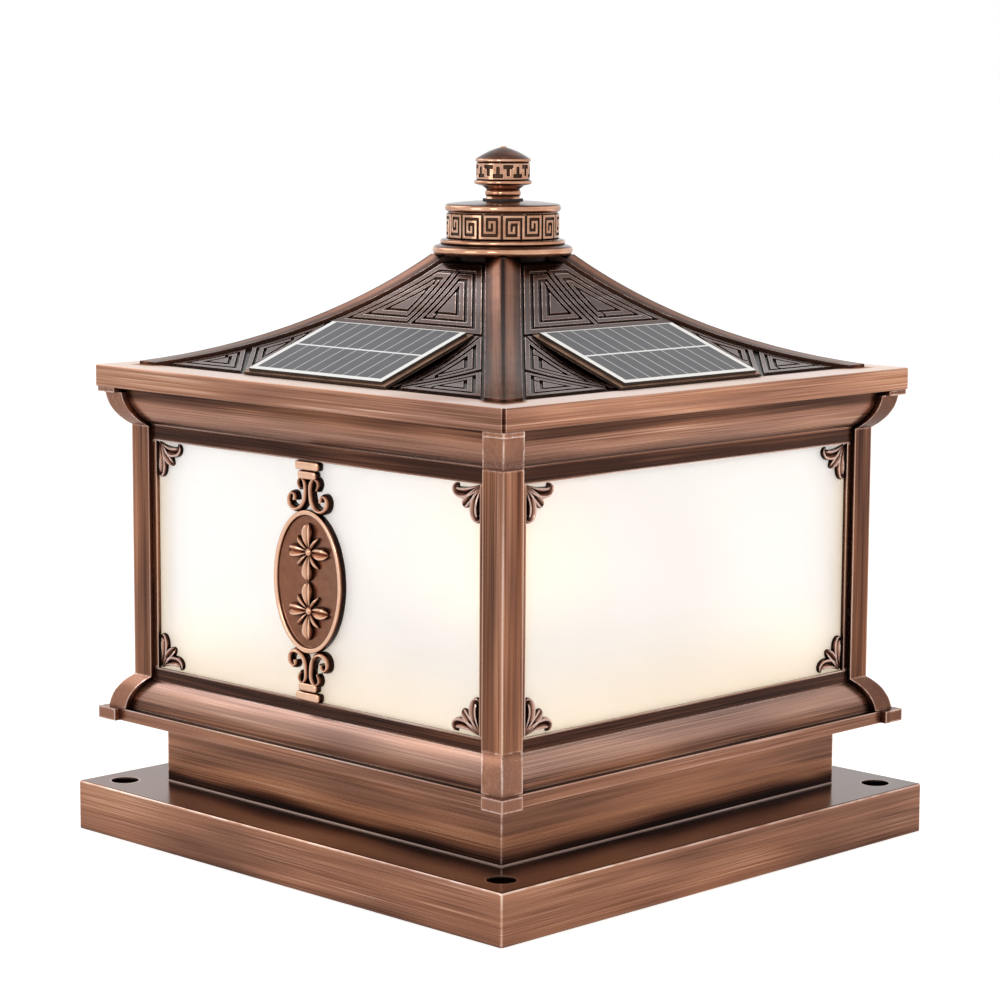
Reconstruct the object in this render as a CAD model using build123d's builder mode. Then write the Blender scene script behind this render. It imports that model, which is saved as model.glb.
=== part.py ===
"""Solar pillar lantern: a square cage of four frosted panes on a tray base, under a lift-off
pagoda roof that carries four solar panels, the battery, the controller and the hanging lamp.

Millimetres. The origin is the middle of the base's underside, Z is up and the front, the side
with the medallion, looks along -Y.
"""
import os
from math import atan2, cos, degrees, hypot, radians, sin, sqrt, tan

from build123d import *

os.makedirs("parts", exist_ok=True)

# Base tray and plinth
base_side = 301.0            # outside of the tray
base_height = 24.5
tray_wall = 2.5
tray_edge = 1.2              # rounding of the tray's outer edges
mount_hole_dia = 14.0
mount_hole_inset = 16.5      # hole centre to the tray's outside faces
mount_boss_dia = 22.0
plinth_inset = 11.5          # plinth face behind the post faces
plinth_height = 29.5
plinth_wall = 2.5
plinth_boss = 14.0           # square screw boss in each plinth corner
floor_thickness = 3.0
floor_reach = 2.0            # floor plate edge inside the post faces

# Cage of corner posts and rails
frame_side = 260.0           # across the straight stretch of the posts
post_width = 13.0
post_straight = 126.0        # between the lower and the upper flare
lip_height = 6.0
lip_reach = 13.0             # lip past the post face
flare_height = 16.5
flare_reach = 9.2            # end of a flare past the post face
flare_radius = 22.0
cap_height = 2.5
cap_reach = 11.8             # cap on the post top, past the post face
window_set_back = 2.0        # window plane behind the post faces
rail_set_back = 3.2          # rail mouldings behind the post mouldings
rail_depth = 8.6             # window plane to the back of a rail
rail_skin = 2.0
sill_drop = 2.0              # rail moulding ends this far below the post's flare
sill_reveal = 4.8            # window edge above the lower flare
head_reveal = 7.0            # window edge below the upper flare
stile_reveal = 3.5           # flange that a post shows beside the glass
joint_gap = 0.2              # rail ends to posts

# Panes and their ornaments
pane_thickness = 4.0
pane_play = 0.3              # on each face of a pane in its grooves
pane_bite = 4.0              # pane edge inside a rail groove
head_room = 5.0              # extra groove depth above a pane
bead_width = 6.0
leaf_length = 18.0
leaf_width = 7.0
leaf_thickness = 4.0
plaque_width = 47.4
plaque_height = 68.2
plaque_thickness = 3.4
plaque_rim = 2.9
plaque_relief = 1.2
scroll_span = 29.0
scroll_eye = 9.0
tie_bar_width = 18.0
tie_bar_height = 2.6
tie_neck = 9.4
leaf_petals = ((9.0, 1.0), (42.0, 0.9), (74.0, 0.88))  # angle from the rail, share of the length
rosette_spread = 14.3        # rosette centres from the plaque's middle
petal_length = 11.6
petal_width = 7.5
rosette_eye = 6.8

# Top ring, seal and clips
ring_width = 16.0
ring_thickness = 2.0
ring_edge = 2.0              # ring's outer edge inside the post faces
gasket_width = 3.5
gasket_thickness = 1.0
clip_width = 24.0
clip_thickness = 1.0
clip_length = 16.0

# Roof
eave_reach = 13.0            # fascia past the post faces
fascia_height = 10.8
fascia_wall = 4.0
roof_foot = 123.6            # where a roof face meets the flat rim
roof_top = 26.0              # half the flat under the finial
roof_rise = 52.4
roof_radius = 195.4
roof_wall = 3.0
roof_edge = 0.8              # rounding of the fascia's edges
fascia_seam = 1.4            # open corner seam of the fascia
hip_raise = 2.5
hip_width = 12.0             # of one half of a hip, along the eave
hip_round = 3.0              # rounding of the hips' crests
hip_foot = 127.0
seat_height = 2.9            # finial seat above the roof flat
seat_dia = 48.0
fret_raise = 1.1
fret_rib = 2.1
fret_gap = 1.8
fret_channel = 2.4           # between a hip and the fret beside it
fret_frame = 2.8             # band round the fret above a panel
roof_boss_dia = 10.0
roof_boss_inset = 22.0       # boss axis inside the pan's edge

# Solar panels
panel_width = 93.0
panel_low = 125.1            # low edge, from the axis
panel_high = 68.6            # high edge, from the axis
panel_thickness = 1.5
tray_thickness = 1.5
tray_border = 3.0            # tray past the laminate's sides
tray_lip = 1.3               # tray past its low and high edges
panel_lift = 0.3             # tray clear of the roof at its two edges

# Pan, lamp and electrics
pan_thickness = 2.0
pan_skirt = 12.0
pan_play = 0.5               # skirt inside the top ring
pan_wall = 1.5
pan_overhang = 1.0           # pan past the gasket
stem_dia = 24.0
stem_bore = 14.0
stem_length = 46.0
stem_flange_dia = 56.0
stem_plate_dia = 47.0
stem_plate_thickness = 4.0
globe_dia = 74.0
globe_neck_dia = 52.0
globe_neck_length = 12.0
globe_wall = 2.0
led_board_dia = 40.0
led_board_thickness = 1.6
led_count = 12
led_size = 3.5
led_height = 1.0
case_side = 50.0
case_height = 18.0
case_wall = 2.0
standoff_dia = 4.0
standoff_share = 0.8         # standoff place, as a share of the board's half
cell_dia = 18.5
cell_length = 65.0
cell_slack = 2.0             # springs at a cell's ends
cell_grip = 0.75             # holder end, as a share of the cell
holder_wall = 2.0
holder_gap = 4.0             # battery holder to controller case
holder_shift = 21.0          # battery holder sideways, clear of a panel lead
lead_dia = 3.0
lead_shift = 20.0            # panel leads sideways from each face's middle
lead_height = 6.0            # lead above the pan
lead_bend = 5.0
switch_place = 68.0          # switch axis from the lantern's axis, both ways
switch_side = 16.0
switch_height = 13.0
switch_bezel_dia = 20.0
switch_bezel = 2.0
sleeve_wall = 1.5            # switch sleeve through the pan
button_dia = 12.0
button_play = 0.3
button_length = 9.0
button_travel = 2.5
button_edge = 1.0

# Finial
stud_dia = 8.0
stud_play = 0.05             # radial, in the knob
stud_hole_play = 0.3         # radial, through collar and roof
knob_depth = 15.0            # threaded hole in the knob
stud_engaged = 13.0
collar_height = 26.3
collar_rim_dia = 69.4
collar_step_dia = 61.8
collar_band_dia = 53.6
collar_disc_dia = 57.4
collar_rim_height = 4.4
collar_step_low = 5.3        # step and band above the seat
collar_step_high = 7.3
collar_band_low = 8.3
collar_band_drop = 6.2       # band and disc below the collar's top
collar_disc_drop = 5.4
collar_crown = 1.5
rim_bead = 1.6               # bulges of the turned rims
step_bead = 0.5
disc_bead = 1.6
washer_dia = 20.0
washer_thickness = 1.0
neck_dia = 16.2
knob_rim_dia = 28.6
knob_band_dia = 24.8
knob_height = 25.5
knob_ring_low = 1.0          # ring, cup, rim and band above the knob's foot
knob_ring_high = 4.4
knob_cup = 7.0
knob_rim_high = 9.0
knob_band_low = 9.4
knob_band_drop = 8.0         # band, upper rim and crown below the knob's top
knob_upper_drop = 7.6
knob_crown_drop = 5.8
knob_bead = 0.6
knob_ring_bead = 0.8
knob_tip_dia = 3.6
knob_tip_height = 0.6
nut_across = 13.0
nut_height = 6.5

# Screws
screw_dia = 4.0
screw_play = 0.1             # radial, in the threaded hole
screw_clear = 0.4            # radial, in the clearance hole
screw_head_dia = 7.6
screw_head = 2.4
screw_bite = 9.0             # length in the threaded piece
overrun = 1.0                # depth past a screw's tip

# Places that follow from the sizes above
frame_half = frame_side / 2
post_inner = frame_half - post_width
window_face = frame_half - window_set_back
lip_out = frame_half + lip_reach
flare_out = frame_half + flare_reach
cap_out = frame_half + cap_reach
rail_lip = lip_out - rail_set_back
rail_out = flare_out - rail_set_back
rail_inner = window_face - rail_depth
groove_front = window_face - rail_skin
groove_back = rail_inner + rail_skin
pane_outer = groove_front - pane_play
pane_inner = pane_outer - pane_thickness
plinth_half = frame_half - plinth_inset
eave_half = frame_half + eave_reach
core_middle = (post_inner + window_face) / 2

plinth_low = base_height
floor_low = plinth_low + plinth_height
cage_low = floor_low + floor_thickness
lip_top = cage_low + lip_height
flare_top = lip_top + flare_height
cornice_low = flare_top + post_straight
cap_low = cornice_low + flare_height
cage_top = cap_low + cap_height
window_low = flare_top + sill_reveal
window_high = cornice_low - head_reveal
window_middle = (window_low + window_high) / 2
ring_top = cage_top + ring_thickness
pan_low = ring_top + gasket_thickness
pan_top = pan_low + pan_thickness
eave_top = cage_top + fascia_height
roof_flat = eave_top + roof_rise
seat_top = roof_flat + seat_height
collar_top = seat_top + collar_height
knob_low = collar_top + washer_thickness
knob_top = knob_low + knob_height

ring_outer = frame_half - ring_edge
ring_inner = ring_outer - ring_width
pan_half = ring_inner + gasket_width + pan_overhang
skirt_out = ring_inner - pan_play

sides = {"front": 0, "right": 90, "back": 180, "left": 270}
corners = {"front_right": 0, "back_right": 90, "back_left": 180, "front_left": 270}


def hand_over(part, name):
    """Name a finished piece and write it out."""
    part.label = name
    export_step(part, f"parts/{name}.step")


def hand_over_turned(part, name, places):
    """Write one copy of a piece for each place round the lantern's axis."""
    for place, angle in places.items():
        hand_over(part.rotate(Axis.Z, angle), f"{name}_{place}")


def arc_middle(start, end, radius):
    """Middle of the arc from start to end that bulges to the right of that way."""
    run, rise = end[0] - start[0], end[1] - start[1]
    chord = hypot(run, rise)
    bulge = radius - sqrt(radius**2 - chord**2 / 4)
    return ((start[0] + end[0]) / 2 + bulge * rise / chord, (start[1] + end[1]) / 2 - bulge * run / chord)


def post_line(shift, side):
    """Outline of the posts from foot to cap, moved in by shift; side is 1, or -1 for its mirror."""
    foot = [(lip_out, cage_low), (lip_out, lip_top), (flare_out, lip_top)]
    low = ((flare_out, lip_top), (frame_half, flare_top))
    high = ((frame_half, cornice_low), (flare_out, cap_low))
    head = [(flare_out, cap_low), (cap_out, cap_low), (cap_out, cage_top)]

    def placed(point):
        return (side * (point[0] - shift), point[1])

    Polyline(*[placed(point) for point in foot])
    ThreePointArc(placed(low[0]), placed(arc_middle(*low, flare_radius)), placed(low[1]))
    Line(placed(low[1]), placed(high[0]))
    ThreePointArc(placed(high[0]), placed(arc_middle(*high, flare_radius)), placed(high[1]))
    Polyline(*[placed(point) for point in head])


def post_strip(side):
    """Face between the outer and the inner outline of a post."""
    with BuildLine() as outline:
        post_line(0, side)
        post_line(post_width, side)
        Line((side * lip_out, cage_low), (side * (lip_out - post_width), cage_low))
        Line((side * cap_out, cage_top), (side * (cap_out - post_width), cage_top))
    make_face(outline.edges())


def box(x_low, x_high, y_low, y_high, z_low, z_high, mode=Mode.ADD):
    """A block between two corners, in the part being built."""
    with BuildSketch(Plane.XY.offset(z_low)) as plan:
        with Locations(((x_low + x_high) / 2, (y_low + y_high) / 2)):
            Rectangle(x_high - x_low, y_high - y_low)
    extrude(plan.sketch, amount=z_high - z_low, mode=mode)


def column(places, radius, z_low, z_high, mode=Mode.ADD):
    """Upright round columns at the given places, in the part being built."""
    with BuildSketch(Plane.XY.offset(z_low)) as plan:
        with Locations(*places):
            Circle(radius)
    extrude(plan.sketch, amount=z_high - z_low, mode=mode)


def square_places(reach):
    return [(x * reach, y * reach) for x in (-1, 1) for y in (-1, 1)]


def square_ring(half_out, half_in, z_low, z_high):
    """A flat square ring, in the part being built."""
    with BuildSketch(Plane.XY.offset(z_low)) as plan:
        Rectangle(2 * half_out, 2 * half_out)
        Rectangle(2 * half_in, 2 * half_in, mode=Mode.SUBTRACT)
    extrude(plan.sketch, amount=z_high - z_low)


def screws(places, head_low, head_high, tip):
    """Pan-head screws at the given places; tip is the z of their ends."""
    column(places, screw_head_dia / 2, head_low, head_high)
    if tip < head_low:
        column(places, screw_dia / 2, tip, head_low)
    else:
        column(places, screw_dia / 2, head_high, tip)


# Base tray: open below, with a bolt boss in each corner
mount_places = square_places(base_side / 2 - mount_hole_inset)
plinth_screw_places = square_places(plinth_half - plinth_wall - plinth_boss / 2)
tray_roof = base_height - tray_wall
with BuildPart() as base_tray:
    with BuildSketch():
        Rectangle(base_side, base_side)
    extrude(amount=base_height)
    upright = base_tray.edges().filter_by(Axis.Z)
    top = base_tray.faces().sort_by(Axis.Z)[-1].edges()
    fillet(upright + top, tray_edge)
    inside = base_side / 2 - tray_wall
    box(-inside, inside, -inside, inside, 0, tray_roof, Mode.SUBTRACT)
    column(mount_places, mount_boss_dia / 2, 0, tray_roof)
    column(mount_places, mount_hole_dia / 2, 0, base_height, Mode.SUBTRACT)
    column(plinth_screw_places, screw_dia / 2 + screw_clear, 0, base_height, Mode.SUBTRACT)
hand_over(base_tray.part, "base_tray")

# Plinth: a square tube with a screw boss in each corner
with BuildPart() as plinth_box:
    square_ring(plinth_half, plinth_half - plinth_wall, plinth_low, floor_low)
    with BuildSketch(Plane.XY.offset(plinth_low)):
        with Locations(*plinth_screw_places):
            Rectangle(plinth_boss, plinth_boss)
    extrude(amount=plinth_height)
    column(plinth_screw_places, screw_dia / 2 + screw_play, plinth_low, floor_low, Mode.SUBTRACT)
hand_over(plinth_box.part, "plinth_box")

# Floor plate: carries posts and rails, countersunk from below for their screws
post_screw_places = square_places(core_middle)
rail_screw_reach = frame_half / 2
rail_screw_line = (rail_inner + groove_front) / 2
rail_screw_places = []
for across in (-rail_screw_reach, rail_screw_reach):
    for line in (-rail_screw_line, rail_screw_line):
        rail_screw_places += [(across, line), (line, across)]
floor_half = frame_half - floor_reach
sunk_low = floor_low
sunk_high = floor_low + screw_head
with BuildPart() as floor_plate:
    box(-floor_half, floor_half, -floor_half, floor_half, floor_low, cage_low)
    cage_places = post_screw_places + rail_screw_places
    column(cage_places, screw_head_dia / 2 + screw_clear, sunk_low, sunk_high, Mode.SUBTRACT)
    through_places = cage_places + plinth_screw_places
    column(through_places, screw_dia / 2 + screw_clear, floor_low, cage_low, Mode.SUBTRACT)
hand_over(floor_plate.part, "floor_plate")

with BuildPart() as base_screws:
    screws(plinth_screw_places, tray_roof - screw_head, tray_roof, plinth_low + screw_bite)
    screws(plinth_screw_places, cage_low, cage_low + screw_head, floor_low - screw_bite)
hand_over(base_screws.part, "base_screws")

# Corner posts: a square bar that flares out at foot and head, on a straight core
with BuildPart() as corner_post:
    with BuildSketch(Plane.XZ):
        post_strip(1)
    extrude(amount=lip_out + overrun)
    with BuildSketch(Plane.YZ):
        post_strip(-1)
    extrude(amount=lip_out + overrun, mode=Mode.INTERSECT)
    box(post_inner, window_face, -window_face, -post_inner, cage_low, cage_top)
    stile_low = window_low + joint_gap
    stile_high = window_high - joint_gap
    stile_edge = post_inner - stile_reveal
    box(stile_edge, post_inner, -window_face, -groove_front, stile_low, stile_high)
    box(groove_front, window_face, -post_inner, -stile_edge, stile_low, stile_high)
    pilot = [(core_middle, -core_middle)]
    column(pilot, screw_dia / 2 + screw_play, cage_low, cage_low + screw_bite + overrun, Mode.SUBTRACT)
    column(pilot, screw_dia / 2 + screw_play, cage_top - screw_bite - overrun, cage_top, Mode.SUBTRACT)
hand_over_turned(corner_post.part, "corner_post", corners)

# Rails: hollow mouldings with a glass groove, their ends shaped to the posts
sill_groove = window_low - pane_bite
head_groove = window_high + pane_bite + head_room
sill_low = flare_top - sill_drop
head_high = cornice_low + sill_drop / 2
rail_reach = cap_out


def rail_ends():
    """Keep what lies between the posts, in the rail being built."""
    with BuildSketch(Plane.XZ) as between:
        with BuildLine():
            shift = post_width + joint_gap
            post_line(shift, 1)
            post_line(shift, -1)
            Line((shift - lip_out, cage_low), (lip_out - shift, cage_low))
            Line((shift - cap_out, cage_top), (cap_out - shift, cage_top))
        make_face()
    extrude(between.sketch, amount=lip_out + overrun, mode=Mode.INTERSECT)
    square = post_inner - joint_gap
    mitre = lip_out + overrun
    with BuildSketch() as plan:
        with BuildLine():
            Polyline(
                (-square, -rail_inner),
                (-square, -window_face),
                (joint_gap - window_face, -window_face),
                (joint_gap - mitre, -mitre),
                (mitre - joint_gap, -mitre),
                (window_face - joint_gap, -window_face),
                (square, -window_face),
                (square, -rail_inner),
                close=True,
            )
        make_face()
    extrude(plan.sketch, amount=cage_top, mode=Mode.INTERSECT)


with BuildPart() as lower_rail:
    with BuildSketch(Plane.YZ):
        with BuildLine():
            moulding = ((rail_out, lip_top), (window_face, sill_low))
            bulge = arc_middle(*moulding, flare_radius)
            Polyline(
                (-rail_inner, cage_low),
                (-rail_lip, cage_low),
                (-rail_lip, lip_top),
                (-rail_out, lip_top),
            )
            ThreePointArc((-rail_out, lip_top), (-bulge[0], bulge[1]), (-window_face, sill_low))
            Polyline(
                (-window_face, sill_low),
                (-window_face, window_low),
                (-groove_front, window_low),
                (-groove_front, sill_groove),
                (-groove_back, sill_groove),
                (-groove_back, window_low),
                (-rail_inner, window_low),
                (-rail_inner, cage_low),
            )
        make_face()
        with BuildLine():
            Polyline(
                (-groove_back, lip_top + rail_skin),
                (rail_skin * 2 - rail_out, lip_top + rail_skin),
                (rail_skin - window_face, sill_groove - rail_skin * 2),
                (-groove_back, sill_groove - rail_skin * 2),
                close=True,
            )
        make_face(mode=Mode.SUBTRACT)
    extrude(amount=rail_reach, both=True)
    rail_ends()
    pilot = [(-rail_screw_reach, -rail_screw_line), (rail_screw_reach, -rail_screw_line)]
    column(pilot, screw_dia / 2 + screw_play, cage_low, lip_top + rail_skin, Mode.SUBTRACT)
hand_over_turned(lower_rail.part, "lower_rail", sides)

with BuildPart() as upper_rail:
    with BuildSketch(Plane.YZ):
        with BuildLine():
            moulding = ((window_face, head_high), (rail_out, cap_low))
            bulge = arc_middle(*moulding, flare_radius)
            ThreePointArc((-window_face, head_high), (-bulge[0], bulge[1]), (-rail_out, cap_low))
            Polyline(
                (-rail_out, cap_low),
                (-rail_out, cage_top),
                (-rail_inner, cage_top),
                (-rail_inner, window_high),
                (-groove_back, window_high),
                (-groove_back, head_groove),
                (-groove_front, head_groove),
                (-groove_front, window_high),
                (-window_face, window_high),
                (-window_face, head_high),
            )
        make_face()
    extrude(amount=rail_reach, both=True)
    rail_ends()
    column(pilot, screw_dia / 2 + screw_play, cage_top - screw_bite, cage_top, Mode.SUBTRACT)
hand_over_turned(upper_rail.part, "upper_rail", sides)

with BuildPart() as post_screws:
    screws(post_screw_places, sunk_low, sunk_high, cage_low + screw_bite)
    screws(post_screw_places, ring_top, ring_top + screw_head, cage_top - screw_bite)
hand_over(post_screws.part, "post_screws")

with BuildPart() as rail_screws:
    screws(rail_screw_places, sunk_low, sunk_high, lip_top)
    screws(rail_screw_places, ring_top, ring_top + screw_head, cage_top - screw_bite + overrun)
hand_over(rail_screws.part, "rail_screws")

# Panes and the beads that hold their sides
pane_low = sill_groove + pane_play
pane_high = window_high + pane_bite
pane_half = post_inner - pane_play
with BuildPart() as pane:
    box(-pane_half, pane_half, -pane_outer, -pane_inner, pane_low, pane_high)
hand_over_turned(pane.part, "pane", sides)

with BuildPart() as glazing_beads:
    bead_back = post_inner + joint_gap
    bead_front = pane_inner - pane_play
    with BuildSketch(Plane.XY.offset(stile_low)):
        with PolarLocations(0, 4):
            with Locations(
                (post_inner - bead_width / 2, -(bead_back + bead_front) / 2),
                (bead_width / 2 - post_inner, -(bead_back + bead_front) / 2),
            ):
                Rectangle(bead_width, bead_front - bead_back)
    extrude(amount=stile_high - stile_low)
hand_over(glazing_beads.part, "glazing_beads")

# Leaf ornaments: three petals in each corner of a window
window_half = stile_edge
with BuildPart() as leaf_ornaments:
    with BuildSketch(Plane.XZ.offset(pane_outer)):
        for across, up in ((-1, -1), (-1, 1), (1, -1), (1, 1)):
            corner_z = window_low if up < 0 else window_high
            for angle, share in leaf_petals:
                length = leaf_length * share
                middle_x = across * (window_half - cos(radians(angle)) * length / 2)
                middle_z = corner_z - up * sin(radians(angle)) * length / 2
                with Locations(Location((middle_x, middle_z, 0), (0, 0, across * up * angle))):
                    Ellipse(length / 2, leaf_width / 2)
        with Locations((0, window_middle)):
            clear = 2 * joint_gap
            Rectangle(2 * window_half - clear, window_high - window_low - clear, mode=Mode.INTERSECT)
    extrude(amount=leaf_thickness)
hand_over_turned(leaf_ornaments.part, "leaf_ornaments", sides)

# Medallion: an oval plaque between two scrolled brackets
scroll_height = (window_high - window_low - plaque_height) / 2
with BuildPart() as medallion:
    with BuildSketch(Plane.XZ.offset(pane_outer)):
        with Locations((0, window_middle)):
            Ellipse(plaque_width / 2, plaque_height / 2)
        for up in (-1, 1):
            edge = window_middle + up * (plaque_height / 2 + scroll_height)
            eye_z = window_middle + up * (plaque_height / 2 + scroll_eye / 3)
            eye_x = (scroll_span - scroll_eye) / 2
            with BuildLine():
                Polyline(
                    (-eye_x, eye_z),
                    (-tie_neck / 2, edge - up * tie_bar_height),
                    (tie_neck / 2, edge - up * tie_bar_height),
                    (eye_x, eye_z),
                    (0, window_middle + up * plaque_height / 3),
                    close=True,
                )
            make_face()
            with Locations((-eye_x, eye_z), (eye_x, eye_z)):
                Circle(scroll_eye / 2)
            with Locations((0, edge - up * (tie_bar_height / 2 + joint_gap))):
                Rectangle(tie_bar_width, tie_bar_height)
    extrude(amount=plaque_thickness)
    with BuildSketch(Plane.XZ.offset(pane_outer + plaque_thickness)):
        with Locations((0, window_middle)):
            Ellipse(plaque_width / 2, plaque_height / 2)
            Ellipse(plaque_width / 2 - plaque_rim, plaque_height / 2 - plaque_rim, mode=Mode.SUBTRACT)
        for up in (-1, 1):
            with Locations((0, window_middle + up * rosette_spread)):
                with PolarLocations(rosette_eye, 4):
                    Ellipse(petal_length / 2, petal_width / 2)
                Circle(rosette_eye / 2)
    extrude(amount=plaque_relief)
hand_over(medallion.part, "medallion_front")
hand_over(medallion.part.rotate(Axis.Z, 180), "medallion_back")

# Top ring, gasket and the spring clips that grip the pan's skirt
with BuildPart() as top_ring:
    square_ring(ring_outer, ring_inner, cage_top, ring_top)
    column(cage_places, screw_dia / 2 + screw_clear, cage_top, ring_top, Mode.SUBTRACT)
hand_over(top_ring.part, "top_ring")

with BuildPart() as roof_gasket:
    square_ring(ring_inner + gasket_width, ring_inner, ring_top, pan_low)
hand_over(roof_gasket.part, "roof_gasket")

with BuildPart() as roof_clips:
    clip_front = skirt_out + pan_play / 2
    with BuildSketch(Plane.XY.offset(cage_top - clip_thickness)):
        with PolarLocations((clip_front + rail_inner - joint_gap) / 2, 4):
            Rectangle(rail_inner - joint_gap - clip_front, clip_width)
    extrude(amount=clip_thickness)
    with BuildSketch(Plane.XY.offset(cage_top - clip_length)):
        with PolarLocations(clip_front + clip_thickness / 2, 4):
            Rectangle(clip_thickness, clip_width)
    extrude(amount=clip_length)
hand_over(roof_clips.part, "roof_clips")

# Roof: the circle that shapes its four hollow faces
roof_chord = hypot(roof_foot - roof_top, roof_rise)
roof_reach = sqrt(roof_radius**2 - roof_chord**2 / 4)
roof_arc_s = (roof_foot + roof_top) / 2 + roof_reach * roof_rise / roof_chord
roof_arc_z = (eave_top + roof_flat) / 2 + roof_reach * (roof_foot - roof_top) / roof_chord


def roof_z(distance):
    """Height of a roof face at a distance from the axis."""
    return roof_arc_z - sqrt(roof_radius**2 - (roof_arc_s - distance) ** 2)


def roof_side(foot, top, lift, low):
    """Section of the roof: the face's arc from foot to top, lifted, closed down to low."""
    middle = (foot + top) / 2
    with BuildLine() as section:
        for side in (-1, 1):
            ThreePointArc(
                (side * foot, roof_z(foot) + lift),
                (side * middle, roof_z(middle) + lift),
                (side * top, roof_z(top) + lift),
            )
            Line((side * foot, roof_z(foot) + lift), (side * foot, low))
        Line((-top, roof_z(top) + lift), (top, roof_z(top) + lift))
        Line((-foot, low), (foot, low))
    make_face(section.edges())


def roof_block(foot, top, lift, low):
    """A four-sided hollow-faced pyramid."""
    with BuildPart() as block:
        with BuildSketch(Plane.YZ):
            roof_side(foot, top, lift, low)
        extrude(amount=foot, both=True)
        with BuildSketch(Plane.XZ):
            roof_side(foot, top, lift, low)
        extrude(amount=foot, both=True, mode=Mode.INTERSECT)
    return block.part


def inset(points, distance):
    """A convex outline, listed anticlockwise, cut back all round; empty past its middle."""
    kept = points
    for index, start in enumerate(points):
        end = points[(index + 1) % len(points)]
        run, rise = end[0] - start[0], end[1] - start[1]
        depths = []
        for point in kept:
            area = run * (point[1] - start[1]) - rise * (point[0] - start[0])
            depths.append(area / hypot(run, rise) - distance)
        cut = []
        for place, point in enumerate(kept):
            before = kept[place - 1]
            if depths[place - 1] * depths[place] < 0:
                share = depths[place - 1] / (depths[place - 1] - depths[place])
                run_to, rise_to = point[0] - before[0], point[1] - before[1]
                cut.append((before[0] + share * run_to, before[1] + share * rise_to))
            if depths[place] >= 0:
                cut.append(point)
        kept = cut
    return kept


def nested_ribs(points):
    """Ribs that follow an outline one inside the other round a core, in the sketch being drawn."""
    pitch = fret_rib + fret_gap
    count = 0
    while inset(points, (count + 1) * pitch + fret_gap / 2):
        Polygon(*inset(points, count * pitch), align=None)
        Polygon(*inset(points, count * pitch + fret_rib), align=None, mode=Mode.SUBTRACT)
        count += 1
    for ring in range(1, count):
        line = inset(points, ring * pitch + fret_rib / 2)
        start, end = line[ring % len(line)], line[(ring + 1) % len(line)]
        run, rise = end[0] - start[0], end[1] - start[1]
        share = min(pitch / hypot(run, rise), 0.5)
        place = (start[0] + share * run, start[1] + share * rise, 0)
        with Locations(Location(place, (0, 0, degrees(atan2(rise, run))))):
            Rectangle(fret_gap, 1.5 * fret_rib, mode=Mode.SUBTRACT)
    Polygon(*inset(points, count * pitch), align=None)


# Fret on one roof face, in plan: two framed halves above the panel, two split corners beside it
fret_edge = hip_width + fret_channel
upper_high = roof_top + fret_channel
upper_low = panel_high - fret_gap
border = panel_width / 2 + tray_border + fret_gap / 2 + fret_rib / 2
beside = border + fret_rib / 2 + fret_gap
corner_low = roof_foot - fret_gap
corner_high = beside + fret_edge
border_middle = (corner_low + panel_high) / 2
halfway = (beside + corner_low - fret_edge) / 2
frame = [
    (fret_edge - upper_low, -upper_low),
    (upper_low - fret_edge, -upper_low),
    (upper_high - fret_edge, -upper_high),
    (fret_edge - upper_high, -upper_high),
]
framed = [point for point in inset(frame, fret_frame + fret_gap) if point[0] > 0]
framed_low = min(framed, key=lambda point: point[1])
framed_high = max(framed, key=lambda point: point[1])
half = fret_rib / 2 + fret_gap
frame_low = upper_low - fret_frame
frame_high = upper_high + fret_frame
fret_fields = []
for across in (1, -1):
    upper = [(half, framed_low[1]), framed_low, framed_high, (half, framed_high[1])]
    split = (halfway, -halfway - fret_edge)
    foot = (beside, -corner_low)
    step = fret_gap / sqrt(2)
    corner_upper = [
        (foot[0], foot[1] + step * sqrt(2)),
        (split[0] - step, split[1] + step),
        (beside, -corner_high),
    ]
    corner_lower = [
        (foot[0] + step * sqrt(2), foot[1]),
        (corner_low - fret_edge, -corner_low),
        (split[0] + step, split[1] - step),
    ]
    for field in (upper, corner_upper, corner_lower):
        mirrored = [(across * x, y) for x, y in field]
        fret_fields.append(mirrored if across > 0 else mirrored[::-1])

with BuildPart() as roof_fret:
    with BuildSketch(Plane.XY.offset(eave_top - fret_raise)):
        Polygon(*frame, align=None)
        Polygon(*inset(frame, fret_frame), align=None, mode=Mode.SUBTRACT)
        with Locations((0, -(frame_low + frame_high) / 2)):
            Rectangle(fret_rib, frame_low - frame_high)
        for field in fret_fields:
            nested_ribs(field)
        with Locations((border, -border_middle), (-border, -border_middle)):
            Rectangle(fret_rib, corner_low - panel_high)
    extrude(amount=roof_rise + 2 * fret_raise)
    with BuildSketch(Plane.YZ):
        roof_side(roof_foot, roof_top, fret_raise, eave_top - 2 * fret_raise)
    extrude(amount=roof_foot, both=True, mode=Mode.INTERSECT)

with BuildPart() as roof_hips:
    hip_top = roof_top / 2
    add(roof_block(hip_foot, hip_top, hip_raise, eave_top - roof_wall))
    crests = []
    for edge in roof_hips.edges():
        extent = edge.bounding_box().size
        if edge.geom_type != GeomType.LINE and min(extent.X, extent.Y) > roof_top:
            crests.append(edge)
    fillet(crests, hip_round)
    hip_peak = roof_z(hip_top) + 2 * hip_raise
    box(-hip_foot, hip_foot, -hip_foot, hip_foot, seat_top, hip_peak, Mode.SUBTRACT)
    with BuildSketch():
        for side in (-1, 1):
            with BuildLine():
                Polyline(
                    (hip_foot - hip_width, side * hip_foot),
                    (hip_foot, side * hip_foot),
                    (hip_foot, side * (hip_foot - hip_width)),
                    (hip_width - hip_foot, -side * hip_foot),
                    (-hip_foot, -side * hip_foot),
                    (-hip_foot, -side * (hip_foot - hip_width)),
                    close=True,
                )
            make_face()
    extrude(amount=seat_top, mode=Mode.INTERSECT)

with BuildPart() as roof_hollow:
    add(roof_block(roof_foot, roof_top, -roof_wall, cage_top))
    hollow_half = eave_half - fascia_wall
    box(-hollow_half, hollow_half, -hollow_half, hollow_half, cage_top, eave_top - roof_wall)

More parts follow.
